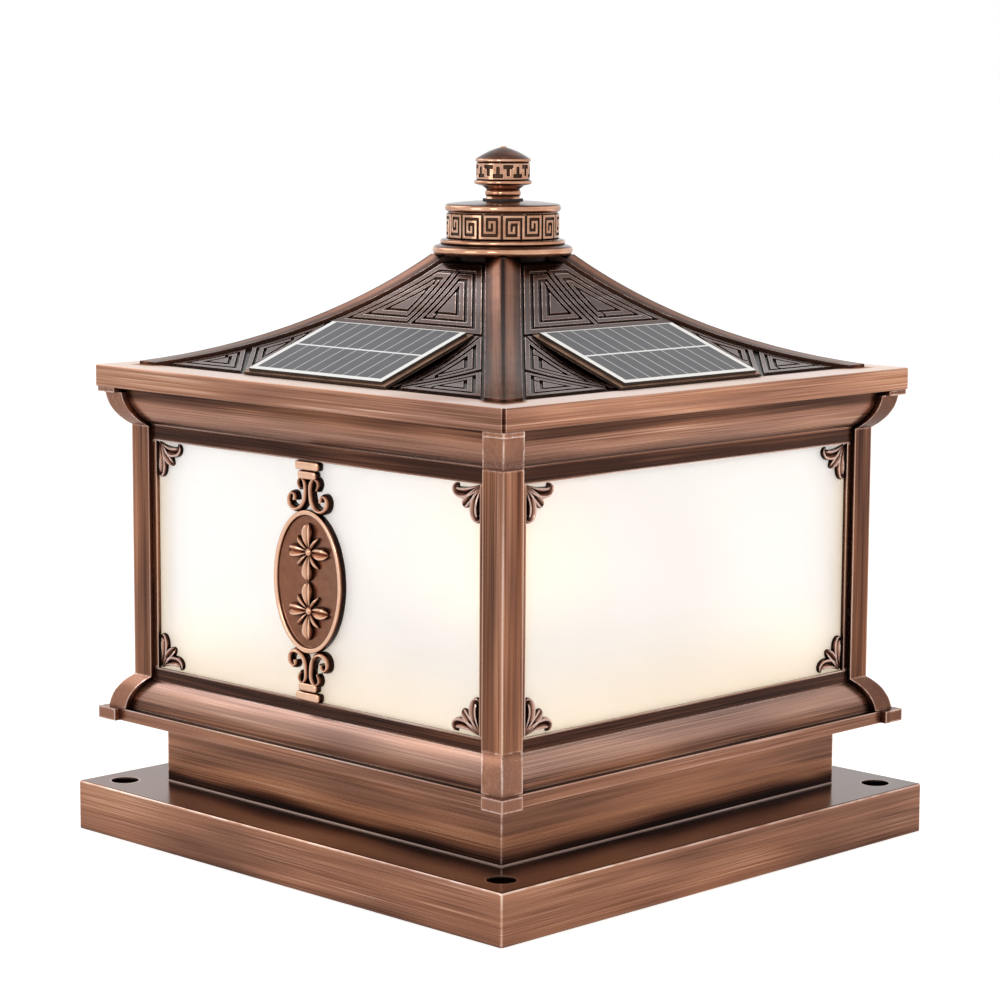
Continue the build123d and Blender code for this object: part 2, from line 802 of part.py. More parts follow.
pan_screw_places = square_places(pan_half - roof_boss_inset)
with BuildPart() as roof_bosses:
    add(roof_block(roof_foot, roof_top, -roof_wall / 2, cage_top))
    column(pan_screw_places, roof_boss_dia / 2, pan_top, roof_flat, Mode.INTERSECT)

lead_line = (panel_low + panel_high) / 2
lead_places = []
for way in (1, -1):
    lead_places += [(way * lead_shift, -way * lead_line), (way * lead_line, way * lead_shift)]
stud_hole = stud_dia / 2 + stud_hole_play
with BuildPart() as roof_shell:
    box(-eave_half, eave_half, -eave_half, eave_half, cage_top, eave_top)
    fillet(roof_shell.edges(), roof_edge)
    with BuildSketch(Plane.XY.offset(cage_top)):
        with Locations(*square_places(eave_half)):
            Rectangle(2 * fascia_seam, 2 * fascia_seam)
    extrude(amount=fascia_height, mode=Mode.SUBTRACT)
    add(roof_block(roof_foot, roof_top, 0, eave_top - roof_wall))
    add(roof_hips.part)
    for angle in sides.values():
        add(roof_fret.part.rotate(Axis.Z, angle))
    column([(0, 0)], seat_dia / 2, roof_flat - roof_wall, seat_top)
    add(roof_hollow.part, mode=Mode.SUBTRACT)
    add(roof_bosses.part)
    pilot_top = pan_top + screw_bite + overrun
    column(pan_screw_places, screw_dia / 2 + screw_play, pan_top, pilot_top, Mode.SUBTRACT)
    column([(0, 0)], stud_hole, pan_top, seat_top, Mode.SUBTRACT)
    column(lead_places, lead_dia / 2 + screw_clear, pan_top, roof_flat, Mode.SUBTRACT)
hand_over(roof_shell.part, "roof_shell")

# Solar panels: a laminate on a tray that bridges the hollow face
panel_drop = roof_z(panel_high) - eave_top
panel_tilt = degrees(atan2(panel_drop, panel_low - panel_high))
panel_slope = hypot(panel_drop, panel_low - panel_high)
panel_plane = Plane(
    origin=(0, -(panel_low + panel_high) / 2, (eave_top + roof_z(panel_high)) / 2 + panel_lift),
    x_dir=(1, 0, 0),
    z_dir=(0, -sin(radians(panel_tilt)), cos(radians(panel_tilt))),
)
with BuildPart() as panel_tray:
    with BuildSketch(panel_plane):
        Rectangle(panel_width + 2 * tray_border, panel_slope)
    extrude(amount=tray_thickness)
hand_over_turned(panel_tray.part, "panel_tray", sides)

with BuildPart() as pv_panel:
    with BuildSketch(panel_plane.offset(tray_thickness)):
        Rectangle(panel_width, panel_slope - 2 * tray_lip)
    extrude(amount=panel_thickness)
hand_over_turned(pv_panel.part, "pv_panel", sides)

# Pan: closes the roof from below and carries lamp, battery, controller and switch
switch_at = [(switch_place, -switch_place)]
sleeve_radius = button_dia / 2 + button_play + sleeve_wall
with BuildPart() as underpan:
    box(-pan_half, pan_half, -pan_half, pan_half, pan_low, pan_top)
    square_ring(skirt_out, skirt_out - pan_wall, pan_low - pan_skirt, pan_low)
    column(pan_screw_places, screw_dia / 2 + screw_clear, pan_low, pan_top, Mode.SUBTRACT)
    column([(0, 0)], stem_bore / 2, pan_low, pan_top, Mode.SUBTRACT)
    column(switch_at, sleeve_radius + joint_gap, pan_low, pan_top, Mode.SUBTRACT)
hand_over(underpan.part, "underpan")

with BuildPart() as underpan_screws:
    screws(pan_screw_places, pan_low - screw_head, pan_low, pan_top + screw_bite)
hand_over(underpan_screws.part, "underpan_screws")

# Lamp: stem, light board and opal globe
stem_low = pan_low - stem_length
plate_low = stem_low - stem_plate_thickness
with BuildPart() as lamp_stem:
    column([(0, 0)], stem_flange_dia / 2, pan_low - stem_plate_thickness, pan_low)
    column([(0, 0)], stem_dia / 2, stem_low, pan_low)
    column([(0, 0)], stem_plate_dia / 2, plate_low, stem_low)
    column([(0, 0)], stem_bore / 2, plate_low, pan_low, Mode.SUBTRACT)
hand_over(lamp_stem.part, "lamp_stem")

led_low = plate_low - led_board_thickness
with BuildPart() as led_board:
    column([(0, 0)], led_board_dia / 2, led_low, plate_low)
hand_over(led_board.part, "led_board")

with BuildPart() as led_chips:
    with BuildSketch(Plane.XY.offset(led_low - led_height)):
        with PolarLocations(led_board_dia / 2 - 2 * led_size, led_count):
            Rectangle(led_size, led_size)
    extrude(amount=led_height)
hand_over(led_chips.part, "led_chips")

globe_radius = globe_dia / 2
neck_radius = globe_neck_dia / 2
neck_low = stem_low - globe_neck_length
globe_middle = neck_low - sqrt(globe_radius**2 - neck_radius**2)
globe_inner = globe_radius - globe_wall
neck_inner = neck_radius - globe_wall
inner_low = globe_middle + sqrt(globe_inner**2 - neck_inner**2)
with BuildPart() as globe_diffuser:
    with BuildSketch(Plane.XZ):
        with BuildLine():
            outer_pole = (0, globe_middle - globe_radius)
            inner_pole = (0, globe_middle - globe_inner)
            ThreePointArc(outer_pole, (globe_radius, globe_middle), (neck_radius, neck_low))
            Polyline(
                (neck_radius, neck_low),
                (neck_radius, stem_low),
                (neck_inner, stem_low),
                (neck_inner, inner_low),
            )
            ThreePointArc((neck_inner, inner_low), (globe_inner, globe_middle), inner_pole)
            Line(inner_pole, outer_pole)
        make_face()
    revolve(axis=Axis.Z)
hand_over(globe_diffuser.part, "globe_diffuser")

# Controller, battery and leads on top of the pan
case_half = case_side / 2
case_top = pan_top + case_height
with BuildPart() as controller_case:
    box(-case_half, case_half, -case_half, case_half, pan_top, case_top)
    room = case_half - case_wall
    box(-room, room, -room, room, pan_top + case_wall, case_top, Mode.SUBTRACT)
    column([(0, 0)], stem_bore / 2, pan_top, pan_top + case_wall, Mode.SUBTRACT)
hand_over(controller_case.part, "controller_case")

board_low = pan_top + case_height / 2
with BuildPart() as controller_board:
    room = case_half - case_wall - joint_gap
    box(-room, room, -room, room, board_low, board_low + led_board_thickness)
    box(-room / 2, 0, -room / 2, 0, board_low + led_board_thickness, case_top - case_wall)
    column(square_places(room * standoff_share), standoff_dia / 2, pan_top + case_wall, board_low)
hand_over(controller_board.part, "controller_board")

holder_depth = 2 * cell_dia + 3 * holder_wall
holder_length = cell_length + 2 * holder_wall + cell_slack
holder_front = case_half + holder_gap
holder_back = holder_front + holder_depth
cell_z = pan_top + holder_wall + cell_dia / 2
cell_lines = [holder_front + holder_wall + cell_dia / 2, holder_back - holder_wall - cell_dia / 2]
holder_low_x = holder_shift - holder_length / 2
holder_high_x = holder_shift + holder_length / 2
with BuildPart() as battery_holder:
    box(holder_low_x, holder_high_x, holder_front, holder_back, pan_top, pan_top + holder_wall)
    for end in (holder_low_x, holder_high_x - holder_wall):
        box(end, end + holder_wall, holder_front, holder_back, pan_top, pan_top + cell_dia * cell_grip)
    for wall in (holder_front, (holder_front + holder_back - holder_wall) / 2, holder_back - holder_wall):
        box(holder_low_x, holder_high_x, wall, wall + holder_wall, pan_top, cell_z - holder_wall)
hand_over(battery_holder.part, "battery_holder")

with BuildPart() as battery_cells:
    with BuildSketch(Plane.YZ.offset(holder_shift - cell_length / 2)):
        with Locations(*[(line, cell_z) for line in cell_lines]):
            Circle(cell_dia / 2 - joint_gap)
    extrude(amount=cell_length)
hand_over(battery_cells.part, "battery_cells")

lead_z = pan_top + lead_height
lead_top = eave_top + panel_drop / 2 + panel_lift - lead_dia * tan(radians(panel_tilt)) / 2
with BuildPart() as front_lead:
    with BuildLine() as lead_path:
        FilletPolyline(
            (lead_shift, -lead_line, lead_top),
            (lead_shift, -lead_line, lead_z),
            (lead_shift, -case_half, lead_z),
            radius=lead_bend,
        )
    with BuildSketch(Plane.XY.offset(lead_top)):
        with Locations((lead_shift, -lead_line)):
            Circle(lead_dia / 2)
    sweep(path=lead_path.wires()[0])

with BuildPart() as panel_leads:
    for angle in sides.values():
        add(front_lead.part.rotate(Axis.Z, angle))
hand_over(panel_leads.part, "panel_leads")

with BuildPart() as inner_leads:
    column([(0, 0)], lead_dia / 2, plate_low, board_low)
    with BuildSketch(Plane.XZ.offset(-holder_front)):
        with Locations((holder_shift - holder_length / 4, pan_top + case_height / 2 - lead_dia)):
            Circle(lead_dia / 2)
    extrude(amount=holder_gap)
hand_over(inner_leads.part, "inner_leads")

# Switch: a spring-back push button that is pressed from below
bezel_low = pan_low - switch_bezel
button_high = pan_low + button_length / 2
with BuildPart() as switch_housing:
    with BuildSketch(Plane.XY.offset(pan_top)):
        with Locations(*switch_at):
            Rectangle(switch_side, switch_side)
    extrude(amount=switch_height)
    column(switch_at, switch_bezel_dia / 2, bezel_low, pan_low)
    column(switch_at, sleeve_radius, pan_low, pan_top)
    bore_high = button_high + 2 * button_travel
    column(switch_at, button_dia / 2 + button_play, bezel_low, bore_high, Mode.SUBTRACT)
hand_over(switch_housing.part, "switch_housing")

with BuildPart() as power_button:
    column(switch_at, button_dia / 2, button_high - button_length, button_high)
    fillet(power_button.edges().group_by(Axis.Z)[0], button_edge)
hand_over(power_button.part, "power_button")



def turned_bead(start, end, bulge):
    """Rounded rim between two points of a turned outline, one above the other."""
    ThreePointArc(start, (start[0] + bulge, (start[1] + end[1]) / 2), end)


# Finial: collar, stud with nut, washer and the knob that screws on the stud
with BuildPart() as finial_collar:
    with BuildSketch(Plane.XZ):
        with BuildLine():
            rim = (collar_rim_dia / 2 - rim_bead, seat_top + collar_rim_height)
            step_low = (collar_step_dia / 2 - step_bead, seat_top + collar_step_low)
            step_high = (step_low[0], seat_top + collar_step_high)
            band_low = (collar_band_dia / 2, seat_top + collar_band_low)
            band_high = (band_low[0], collar_top - collar_band_drop)
            disc_low = (collar_disc_dia / 2 - disc_bead, collar_top - collar_disc_drop)
            disc_high = (disc_low[0], collar_top - collar_crown)
            crown = ((disc_high[0] + washer_dia / 2) / 2, collar_top - collar_crown / 3)
            Polyline((stud_hole, collar_top), (stud_hole, seat_top), (rim[0], seat_top))
            turned_bead((rim[0], seat_top), rim, rim_bead)
            Line(rim, step_low)
            turned_bead(step_low, step_high, step_bead)
            Polyline(step_high, band_low, band_high, disc_low)
            turned_bead(disc_low, disc_high, disc_bead)
            ThreePointArc(disc_high, crown, (washer_dia / 2, collar_top))
            Line((washer_dia / 2, collar_top), (stud_hole, collar_top))
        make_face()
    revolve(axis=Axis.Z)
hand_over(finial_collar.part, "finial_collar")

hollow_top = roof_flat - roof_wall
stud_low = hollow_top - nut_height - stud_dia / 2
with BuildPart() as finial_stud:
    column([(0, 0)], stud_dia / 2, stud_low, knob_low + stud_engaged)
hand_over(finial_stud.part, "finial_stud")

with BuildPart() as finial_nut:
    with BuildSketch(Plane.XY.offset(hollow_top - nut_height)):
        RegularPolygon(nut_across / 2, 6, major_radius=False)
        Circle(stud_dia / 2 + stud_play, mode=Mode.SUBTRACT)
    extrude(amount=nut_height)
hand_over(finial_nut.part, "finial_nut")

with BuildPart() as knob_washer:
    with BuildSketch(Plane.XY.offset(collar_top)):
        Circle(washer_dia / 2)
        Circle(stud_hole, mode=Mode.SUBTRACT)
    extrude(amount=washer_thickness)
hand_over(knob_washer.part, "knob_washer")

with BuildPart() as finial_knob:
    with BuildSketch(Plane.XZ):
        with BuildLine():
            bore = stud_dia / 2 + stud_play
            bore_end = (0, knob_low + knob_depth)
            ring_low = (neck_dia / 2, knob_low + knob_ring_low)
            ring_high = (ring_low[0], knob_low + knob_ring_high)
            rim_low = (knob_rim_dia / 2 - knob_bead, knob_low + knob_cup)
            rim_high = (rim_low[0], knob_low + knob_rim_high)
            cup = (ring_high[0] + (rim_low[0] - ring_high[0]) / 4, rim_low[1] - knob_rim_high / 6)
            band_low = (knob_band_dia / 2, knob_low + knob_band_low)
            band_high = (band_low[0], knob_top - knob_band_drop)
            upper_low = (rim_low[0] - knob_bead, knob_top - knob_upper_drop)
            upper_high = (upper_low[0], knob_top - knob_crown_drop)
            tip = (knob_tip_dia / 2, knob_top - knob_tip_height)
            crown = (neck_dia / 2, knob_top - knob_crown_drop / 2)
            Polyline(bore_end, (bore, bore_end[1]), (bore, knob_low), (ring_low[0] + knob_bead, knob_low))
            Line((ring_low[0] + knob_bead, knob_low), ring_low)
            turned_bead(ring_low, ring_high, knob_ring_bead)
            ThreePointArc(ring_high, cup, rim_low)
            turned_bead(rim_low, rim_high, knob_bead)
            Polyline(rim_high, band_low, band_high, upper_low)
            turned_bead(upper_low, upper_high, knob_bead)
            ThreePointArc(upper_high, crown, tip)
            Polyline(tip, (tip[0] - knob_tip_height / 2, knob_top), (0, knob_top), bore_end)
        make_face()
    revolve(axis=Axis.Z)
hand_over(finial_knob.part, "finial_knob")
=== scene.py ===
from math import atan2, cos, pi, radians, sin

import bpy
from mathutils import Euler, Matrix, Vector


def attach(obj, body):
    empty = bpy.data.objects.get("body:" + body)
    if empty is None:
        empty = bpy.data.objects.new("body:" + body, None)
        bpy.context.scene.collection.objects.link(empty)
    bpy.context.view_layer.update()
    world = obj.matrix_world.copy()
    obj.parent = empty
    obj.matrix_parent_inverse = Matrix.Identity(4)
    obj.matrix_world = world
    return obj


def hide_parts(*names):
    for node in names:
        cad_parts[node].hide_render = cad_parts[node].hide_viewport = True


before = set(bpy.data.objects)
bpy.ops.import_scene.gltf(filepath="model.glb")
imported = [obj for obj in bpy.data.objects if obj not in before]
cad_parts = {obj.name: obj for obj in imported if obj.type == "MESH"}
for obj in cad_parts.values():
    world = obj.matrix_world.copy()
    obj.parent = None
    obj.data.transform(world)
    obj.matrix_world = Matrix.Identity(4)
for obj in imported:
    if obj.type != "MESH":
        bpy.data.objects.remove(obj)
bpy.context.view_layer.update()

MM = 0.001

# Places on the lantern, in millimetres from the middle of the tray's underside
BASE_HALF = 150.5
TRAY_TOP = 24.5
LIP_TOP = 63.0
POST_MIDDLE = 142.5
POST_STRAIGHT_HALF = 62.0
POST_FACE = 129.7
PANE_FACE = 125.7
WINDOW_HALF = 113.5
WINDOW_LOW = 84.3
WINDOW_HIGH = 198.5
WINDOW_MIDDLE = (WINDOW_LOW + WINDOW_HIGH) / 2
EAVE_TOP = 235.3
ROOF_FOOT = 124.5
ROOF_ARC_OUT = 163.4
ROOF_ARC_UP = 426.6
ROOF_RADIUS = 195.4
PANEL_LOW = 125.1
PANEL_HIGH = 68.6
PANEL_HALF = 46.5
GLOBE_SHADE = (122, 182)
SIDES = {"front": 0, "right": 90, "back": 180, "left": 270}

# Bands of the finial that carry a meander: radius, low and high
COLLAR_BAND = (26.95, 299.0, 310.6)
KNOB_BAND = (12.55, 327.4, 335.3)

# Sizes of the medallion's pieces, in millimetres
PLAQUE_HALF = (23.7, 34.1)
PLAQUE_THICK = 4.4
PLAQUE_RIM = 2.3
PLAQUE_SUNK = 2.0
FLOWER_OUT = 14.0
FLOWER_UP = 2.1
BRACKET_OVERLAP = 1.0
CUSHION_THICK = 4.6
# Pieces on the panes reach this far into them
SEATED = 0.1

# How far in from a window's corner its leaf springs
LEAF_INSET = 0.2

# Heights this near each other, in metres, count as one
SAME_HEIGHT = 1e-6


def set_camera():
    """The camera that was fitted to the photograph's straight edges."""
    distance = 1.4752
    height = 0.3707
    turn = radians(44.77)
    pan = radians(0.03)
    roll = radians(0.26)
    tilt = radians(90 - 7.82)
    camera = bpy.data.objects.new("camera", bpy.data.cameras.new("camera"))
    bpy.context.scene.collection.objects.link(camera)
    bpy.context.scene.camera = camera
    camera.data.lens = 107.46
    camera.data.sensor_width = 36
    camera.location = (sin(turn) * distance, -cos(turn) * distance, height)
    aim = Euler((tilt, 0, turn + pan)).to_matrix()
    camera.rotation_euler = (aim @ Matrix.Rotation(roll, 3, "Z")).to_euler()


class Wire:
    """A value in a material; sums and products of wires become Math nodes."""

    def __init__(self, tree, socket):
        self.tree = tree
        self.socket = socket

    def add(self, kind, settings=None, output=0, **inputs):
        """A node of the given type: its settings first, then its sockets' values or links."""
        node = self.tree.nodes.new("ShaderNode" + kind)
        for name, value in (settings or {}).items():
            if name == "stops":
                while len(node.color_ramp.elements) < len(value):
                    node.color_ramp.elements.new(0.5)
                for element, (place, colour) in zip(node.color_ramp.elements, value):
                    element.position = place
                    element.color = colour
            else:
                setattr(node, name, value)
        for name, value in inputs.items():
            key = int(name[1:]) if name[0] == "i" and name[1:].isdigit() else name.replace("_", " ")
            if isinstance(value, Wire):
                self.tree.links.new(value.socket, node.inputs[key])
            else:
                node.inputs[key].default_value = value
        return Wire(self.tree, node.outputs[output])

    def math(self, operation, *values):
        return self.add("Math", {"operation": operation}, **{f"i{n}": v for n, v in enumerate(values)})

    def __add__(self, other):
        return self.math("ADD", self, other)

    def __sub__(self, other):
        return self.math("SUBTRACT", self, other)

    def __rsub__(self, other):
        return self.math("SUBTRACT", other, self)

    def __mul__(self, other):
        return self.math("MULTIPLY", self, other)

    def __truediv__(self, other):
        return self.math("DIVIDE", self, other)

    __radd__ = __add__
    __rmul__ = __mul__

    def most(self, other):
        return self.math("MAXIMUM", self, other)

    def least(self, other):
        return self.math("MINIMUM", self, other)

    def size(self):
        return self.math("ABSOLUTE", self)

    def root(self):
        return self.math("SQRT", self)

    def fraction(self):
        return self.math("FRACT", self)

    def rise(self, low, high):
        """0 below low, 1 above high, smooth between; low above high turns it round."""
        settings = {"interpolation_type": "SMOOTHSTEP"}
        if low < high:
            return self.add("MapRange", settings, Value=self, From_Min=low, From_Max=high)
        return 1 - self.add("MapRange", settings, Value=self, From_Min=high, From_Max=low)

    def near(self, place, half, soft):
        """1 within half of a place, 0 beyond half + soft."""
        return (self - place).size().rise(half + soft, half)

    def parts(self):
        """The three components of a vector."""
        node = self.add("SeparateXYZ", Vector=self).socket.node
        return [Wire(self.tree, output) for output in node.outputs]

    def noise(self, scale, detail=3.0, roughness=0.55):
        """Noise with so many spots to the metre along each axis."""
        place = self.add("Mapping", {"vector_type": "POINT"}, Vector=self, Scale=scale)
        return self.add("TexNoise", Vector=place, Scale=1.0, Detail=detail, Roughness=roughness)

    def bump(self, strength, depth):
        """The normal of a surface with this relief, so many millimetres deep."""
        return self.add("Bump", Strength=strength, Distance=depth * MM, Height=self)

    def shift(self, other, share):
        """This colour moved towards another one by a share."""
        return self.add("Mix", {"data_type": "RGBA"}, 2, i0=share, i6=self, i7=other)

    def ramp(self, stops):
        return self.add("ValToRGB", {"stops": stops}, Fac=self)

    def mottle(self, dark, light):
        """A colour between two, by this noise."""
        return self.ramp([(0.3, dark), (0.7, light)])


def tint(red, green, blue):
    """A colour as it looks on a screen, turned to the light values that shaders take."""

    def light(value):
        return value / 12.92 if value <= 0.04045 else ((value + 0.055) / 1.055) ** 2.4

    return light(red), light(green), light(blue), 1.0


def new_finish(name, **constants):
    """A material, its shader, and the piece's own coordinates and normal."""
    material = bpy.data.materials.new(name)
    material.use_nodes = True
    tree = material.node_tree
    shader = tree.nodes["Principled BSDF"]
    for key, value in constants.items():
        shader.inputs[key.replace("_", " ")].default_value = value
    spot = tree.nodes.new("ShaderNodeTexCoord")
    return material, shader, Wire(tree, spot.outputs["Object"]), Wire(tree, spot.outputs["Normal"])


def feed(shader, **wires):
    """Link wires to the shader's sockets."""
    for key, wire in wires.items():
        wire.tree.links.new(wire.socket, shader.inputs[key.replace("_", " ")])


def millimetres(place, axes="xyz"):
    """The named coordinates of a place, in millimetres."""
    parts = dict(zip("xyz", place.parts()))
    return [parts[axis] * (1 / MM) for axis in axes]


def outward(x, y):
    """Distance from the axis, square to the nearest side."""
    return x.size().most(y.size())


def sideways(x, y):
    """Distance along the nearest side from its middle."""
    return x.size().least(y.size())


# Darkest copper brown; painted shade in hollows, on ledges, reveals and undersides darkens towards it
DARK_BROWN = tint(0.09, 0.045, 0.03)
COPPER_TONES = [
    (0.0, DARK_BROWN), (0.2, tint(0.25, 0.145, 0.105)), (0.35, tint(0.40, 0.265, 0.205)),
    (0.5, tint(0.54, 0.375, 0.30)), (0.65, tint(0.66, 0.485, 0.41)), (0.8, tint(0.78, 0.635, 0.575)),
    (1.0, tint(0.95, 0.88, 0.86)),
]
GOLDEN_TONES = [
    (0.0, tint(0.10, 0.04, 0.02)), (0.2, tint(0.28, 0.14, 0.075)), (0.35, tint(0.45, 0.27, 0.17)),
    (0.5, tint(0.59, 0.385, 0.265)), (0.65, tint(0.71, 0.495, 0.365)), (0.8, tint(0.83, 0.645, 0.52)),
    (1.0, tint(0.97, 0.87, 0.79)),
]
TURNED_TONES = [
    (0.0, tint(0.13, 0.065, 0.045)), (0.12, tint(0.31, 0.17, 0.12)), (0.35, tint(0.56, 0.38, 0.295)),
    (0.55, tint(0.76, 0.55, 0.43)), (0.8, tint(0.92, 0.75, 0.64)),
]
ALUMINIUM_TONES = (tint(0.62, 0.62, 0.62), tint(0.80, 0.80, 0.80))
STEEL_TONES = (tint(0.50, 0.50, 0.51), tint(0.72, 0.72, 0.73))
COPPER_PAINT = tint(0.38, 0.25, 0.19)
AMBER = tint(0.95, 0.66, 0.38)

# Strength and depth of the relief that brushing leaves
BRUSH_RELIEF = (0.22, 0.12)


def streaks(place, way):
    """Brush marks along the named axes, from broad bands to hairlines, about zero."""

    def scale(along, across):
        return tuple(along if axis in way else across for axis in "xyz")

    broad = place.noise(scale(11, 60), 1.0) - 0.5
    middling = place.noise(scale(10, 440), 1.0) - 0.5
    patchy = place.noise(scale(14, 90), 1.0).rise(0.35, 0.65)
    hair = (place.noise(scale(12, 1500), 1.0) - 0.5) * (patchy * 0.8 + 0.45)
    scratch = place.noise(scale(10, 1100), 0.0).rise(0.68, 0.76) * patchy
    return broad, middling, hair, scratch


def hollows_and_edges(place, radius, reach):
    """How far a spot lies in a hollow, and how far on an edge that stands free. Hollows are darkened, partly
    as patina and partly as painted shade; free edges are lightened, partly as rubbing wear and partly as a
    painted highlight.
    """
    openness = place.add("AmbientOcclusion", {"samples": 6}, 1, Distance=reach * MM)
    round_normal = place.add("Bevel", {"samples": 6}, Radius=radius * MM)
    true_normal = place.add("NewGeometry", output=1)
    bend = place.add("VectorMath", {"operation": "DOT_PRODUCT"}, 1, i0=round_normal, i1=true_normal)
    hollow = openness.rise(0.78, 0.3)
    rubbed_and_highlit = bend.rise(0.985, 0.91) * openness.rise(0.6, 0.85)
    return hollow, rubbed_and_highlit


def brushed(place, way, tone, marked=1.0, radius=1.7, edge_wear_and_highlight=1.0, golden=0.3):
    """Colour, roughness, relief and hollows of copper brushed along the named axes.

    Tone 0.5 is its middle brown. The rest are shares: how far the brush marks it, how far its free edges,
    which have the given radius, are lightened as rubbing wear and as a painted highlight, and how golden it
    is.
    """
    broad, middling, hair, scratch = streaks(place, way)
    hollow, rubbed_and_highlit = hollows_and_edges(place, radius, 6.0)
    marks = broad * 0.36 + middling * 0.24 + hair * 0.5 + scratch * 0.12
    # Hollows are darker, partly as patina and partly as painted shade; free edges are lighter, partly as
    # rubbing wear and partly as a painted highlight
    shade = marks * marked + tone - hollow * 0.36
    shade = shade + rubbed_and_highlit * edge_wear_and_highlight * (0.93 - shade) * (middling * 1.4 + 0.85)
    rough = hair * 0.2 + 0.28 + hollow * 0.2
    warmth = golden + broad * 1.6 + middling * 0.8
    colour = shade.ramp(COPPER_TONES).shift(shade.ramp(GOLDEN_TONES), warmth)
    return colour, rough, hair + middling * 0.6, hollow


def copper_post(name):
    """Brushed up and down, smoother at both ends, with painted shade towards the panes; the back right post is
    painted darker than the others as painted shade.
    """
    material, shader, place, _ = new_finish(name, Metallic=0.9)
    x, y, z = millimetres(place)
    flare = (z - POST_MIDDLE).size().rise(POST_STRAIGHT_HALF, POST_STRAIGHT_HALF + 2.5)
    reveal_shade = outward(x, y).rise(POST_FACE, POST_FACE - 0.5)
    back_right_shade = x.rise(100.0, 120.0) * y.rise(100.0, 120.0)
    grain = place.noise((170, 170, 4), 2.0) - 0.5
    # Painted shade on the faces set back towards the panes and over the whole back right post
    tone = grain * 0.8 * (1 - flare) + flare * 0.05 + 0.48 - reveal_shade * 0.16 - back_right_shade * 0.17
    colour, rough, marks, _ = brushed(place, "z", tone, 1 - flare * 0.7, golden=0.45 - flare * 0.4)
    bump = (marks * (1 - flare)).bump(*BRUSH_RELIEF)
    feed(shader, Base_Color=colour, Roughness=rough, Normal=bump)
    return material


def copper_rail(name, way):
    """Mouldings round the panes, with painted shade on the reveals, the ledge, the foot of the moulding, the
    undersides and the brow under the eave, and painted highlights on the sills and in the cove.
    """
    material, shader, place, normal = new_finish(name, Metallic=0.9, Coat_Roughness=0.25, Coat_IOR=1.7)
    [z] = millimetres(place, "z")
    up = normal.parts()[2]
    # Painted shade on the ledge, on the foot of the moulding above it and on both reveals; a painted highlight
    # on the sills
    ledge = up.rise(0.85, 0.97) * z.rise(LIP_TOP + 1.0, LIP_TOP + 0.5)
    shaded = z.rise(LIP_TOP + 8.0, LIP_TOP + 0.8) * z.rise(LIP_TOP + 0.2, LIP_TOP + 0.5) * (1 - ledge)
    low_reveal = z.near(WINDOW_LOW - 3.2, 3.4, 0.6)
    high_reveal = z.near(WINDOW_HIGH + 3.5, 3.3, 0.6)
    sill = up.near(0.5, 0.15, 0.3) * 0.08 - low_reveal * 0.3 - ledge * 0.5 - shaded * 0.2
    # A painted highlight in the hollow of the cove, and painted shade on undersides and on the brow under the
    # eave
    hollow = up.near(-0.45, 0.1, 0.3) * 0.16
    under = up.rise(-0.6, -0.95) * 0.26
    brow = up.near(-0.1, 0.06, 0.12) * 0.16
    cove = hollow - under - brow - high_reveal * 0.1 - 0.07
    upper = z.rise(130, 150)
    tone = upper * (cove - sill) + sill + 0.5
    edge_wear_and_highlight = (1 - ledge) * (z.rise(LIP_TOP - 4.2, LIP_TOP - 3.6) * 0.5 + 0.5)
    colour, rough, marks, _ = brushed(place, way, tone, edge_wear_and_highlight=edge_wear_and_highlight, golden=0.08)
    gloss = up.rise(0.2, 0.5) * (1 - ledge) * 0.7
    feed(shader, Base_Color=colour, Roughness=rough, Coat_Weight=gloss, Normal=marks.bump(*BRUSH_RELIEF))
    return material


def copper_base(name):
    """Brushed sides, a lacquered top painted dark as a painted reflection, and a plinth with a painted warm
    glow above a foot painted dark as a painted reflection.
    """
    material, shader, place, normal = new_finish(name, Metallic=0.9, Coat_Roughness=0.05, Coat_IOR=1.6)
    x, y, z = millimetres(place)
    out = outward(x, y)
    top = normal.parts()[2].rise(0.8, 0.95)
    wavy = z + place.noise((9, 9, 20), 1.0) * 10
    plinth = z.rise(TRAY_TOP + 0.2, TRAY_TOP + 0.8)
    foot = wavy.rise(TRAY_TOP + 12.5, TRAY_TOP + 6.5) * plinth
    glow = wavy.near(TRAY_TOP + 15.5, 1.5, 4)
    seam_glint = z.near(TRAY_TOP + 0.3, 0.2, 0.2)
    inside = z.rise(TRAY_TOP - 0.6, TRAY_TOP - 1.1) * out.rise(BASE_HALF - 2.5, BASE_HALF - 3.5)
    corner = sideways(x, y).rise(BASE_HALF - 1.1, BASE_HALF - 0.4)
    edge = out.rise(BASE_HALF - 0.8, BASE_HALF - 0.3) * z.rise(TRAY_TOP - 1.2, TRAY_TOP - 0.7)
    chafed_and_highlit = place.noise((70, 70, 70), 2.0).rise(0.3, 0.6) * 0.5 + 0.5
    # Painted reflection: the top and the plinth's foot painted dark, with a painted warm glow above the foot;
    # darker inside the tray under its top
    tone = 0.53 + glow * 0.13 - plinth * 0.045 - top * 0.56 - foot * 0.42 - inside * 0.6
    # A painted highlight along the join of plinth and tray, and edges lightened partly as chafing wear and
    # partly as a painted highlight
    tone = tone + seam_glint * 0.7 + edge.most(corner) * chafed_and_highlit * 0.36
    colour, rough, marks, _ = brushed(place, "xy", tone, 1 - top * 0.75, golden=glow * 0.6 + 0.24)
    bump = (marks * (1 - top)).bump(*BRUSH_RELIEF)
    feed(shader, Base_Color=colour, Roughness=rough - top * 0.1, Coat_Weight=top * 0.1, Normal=bump)
    return material


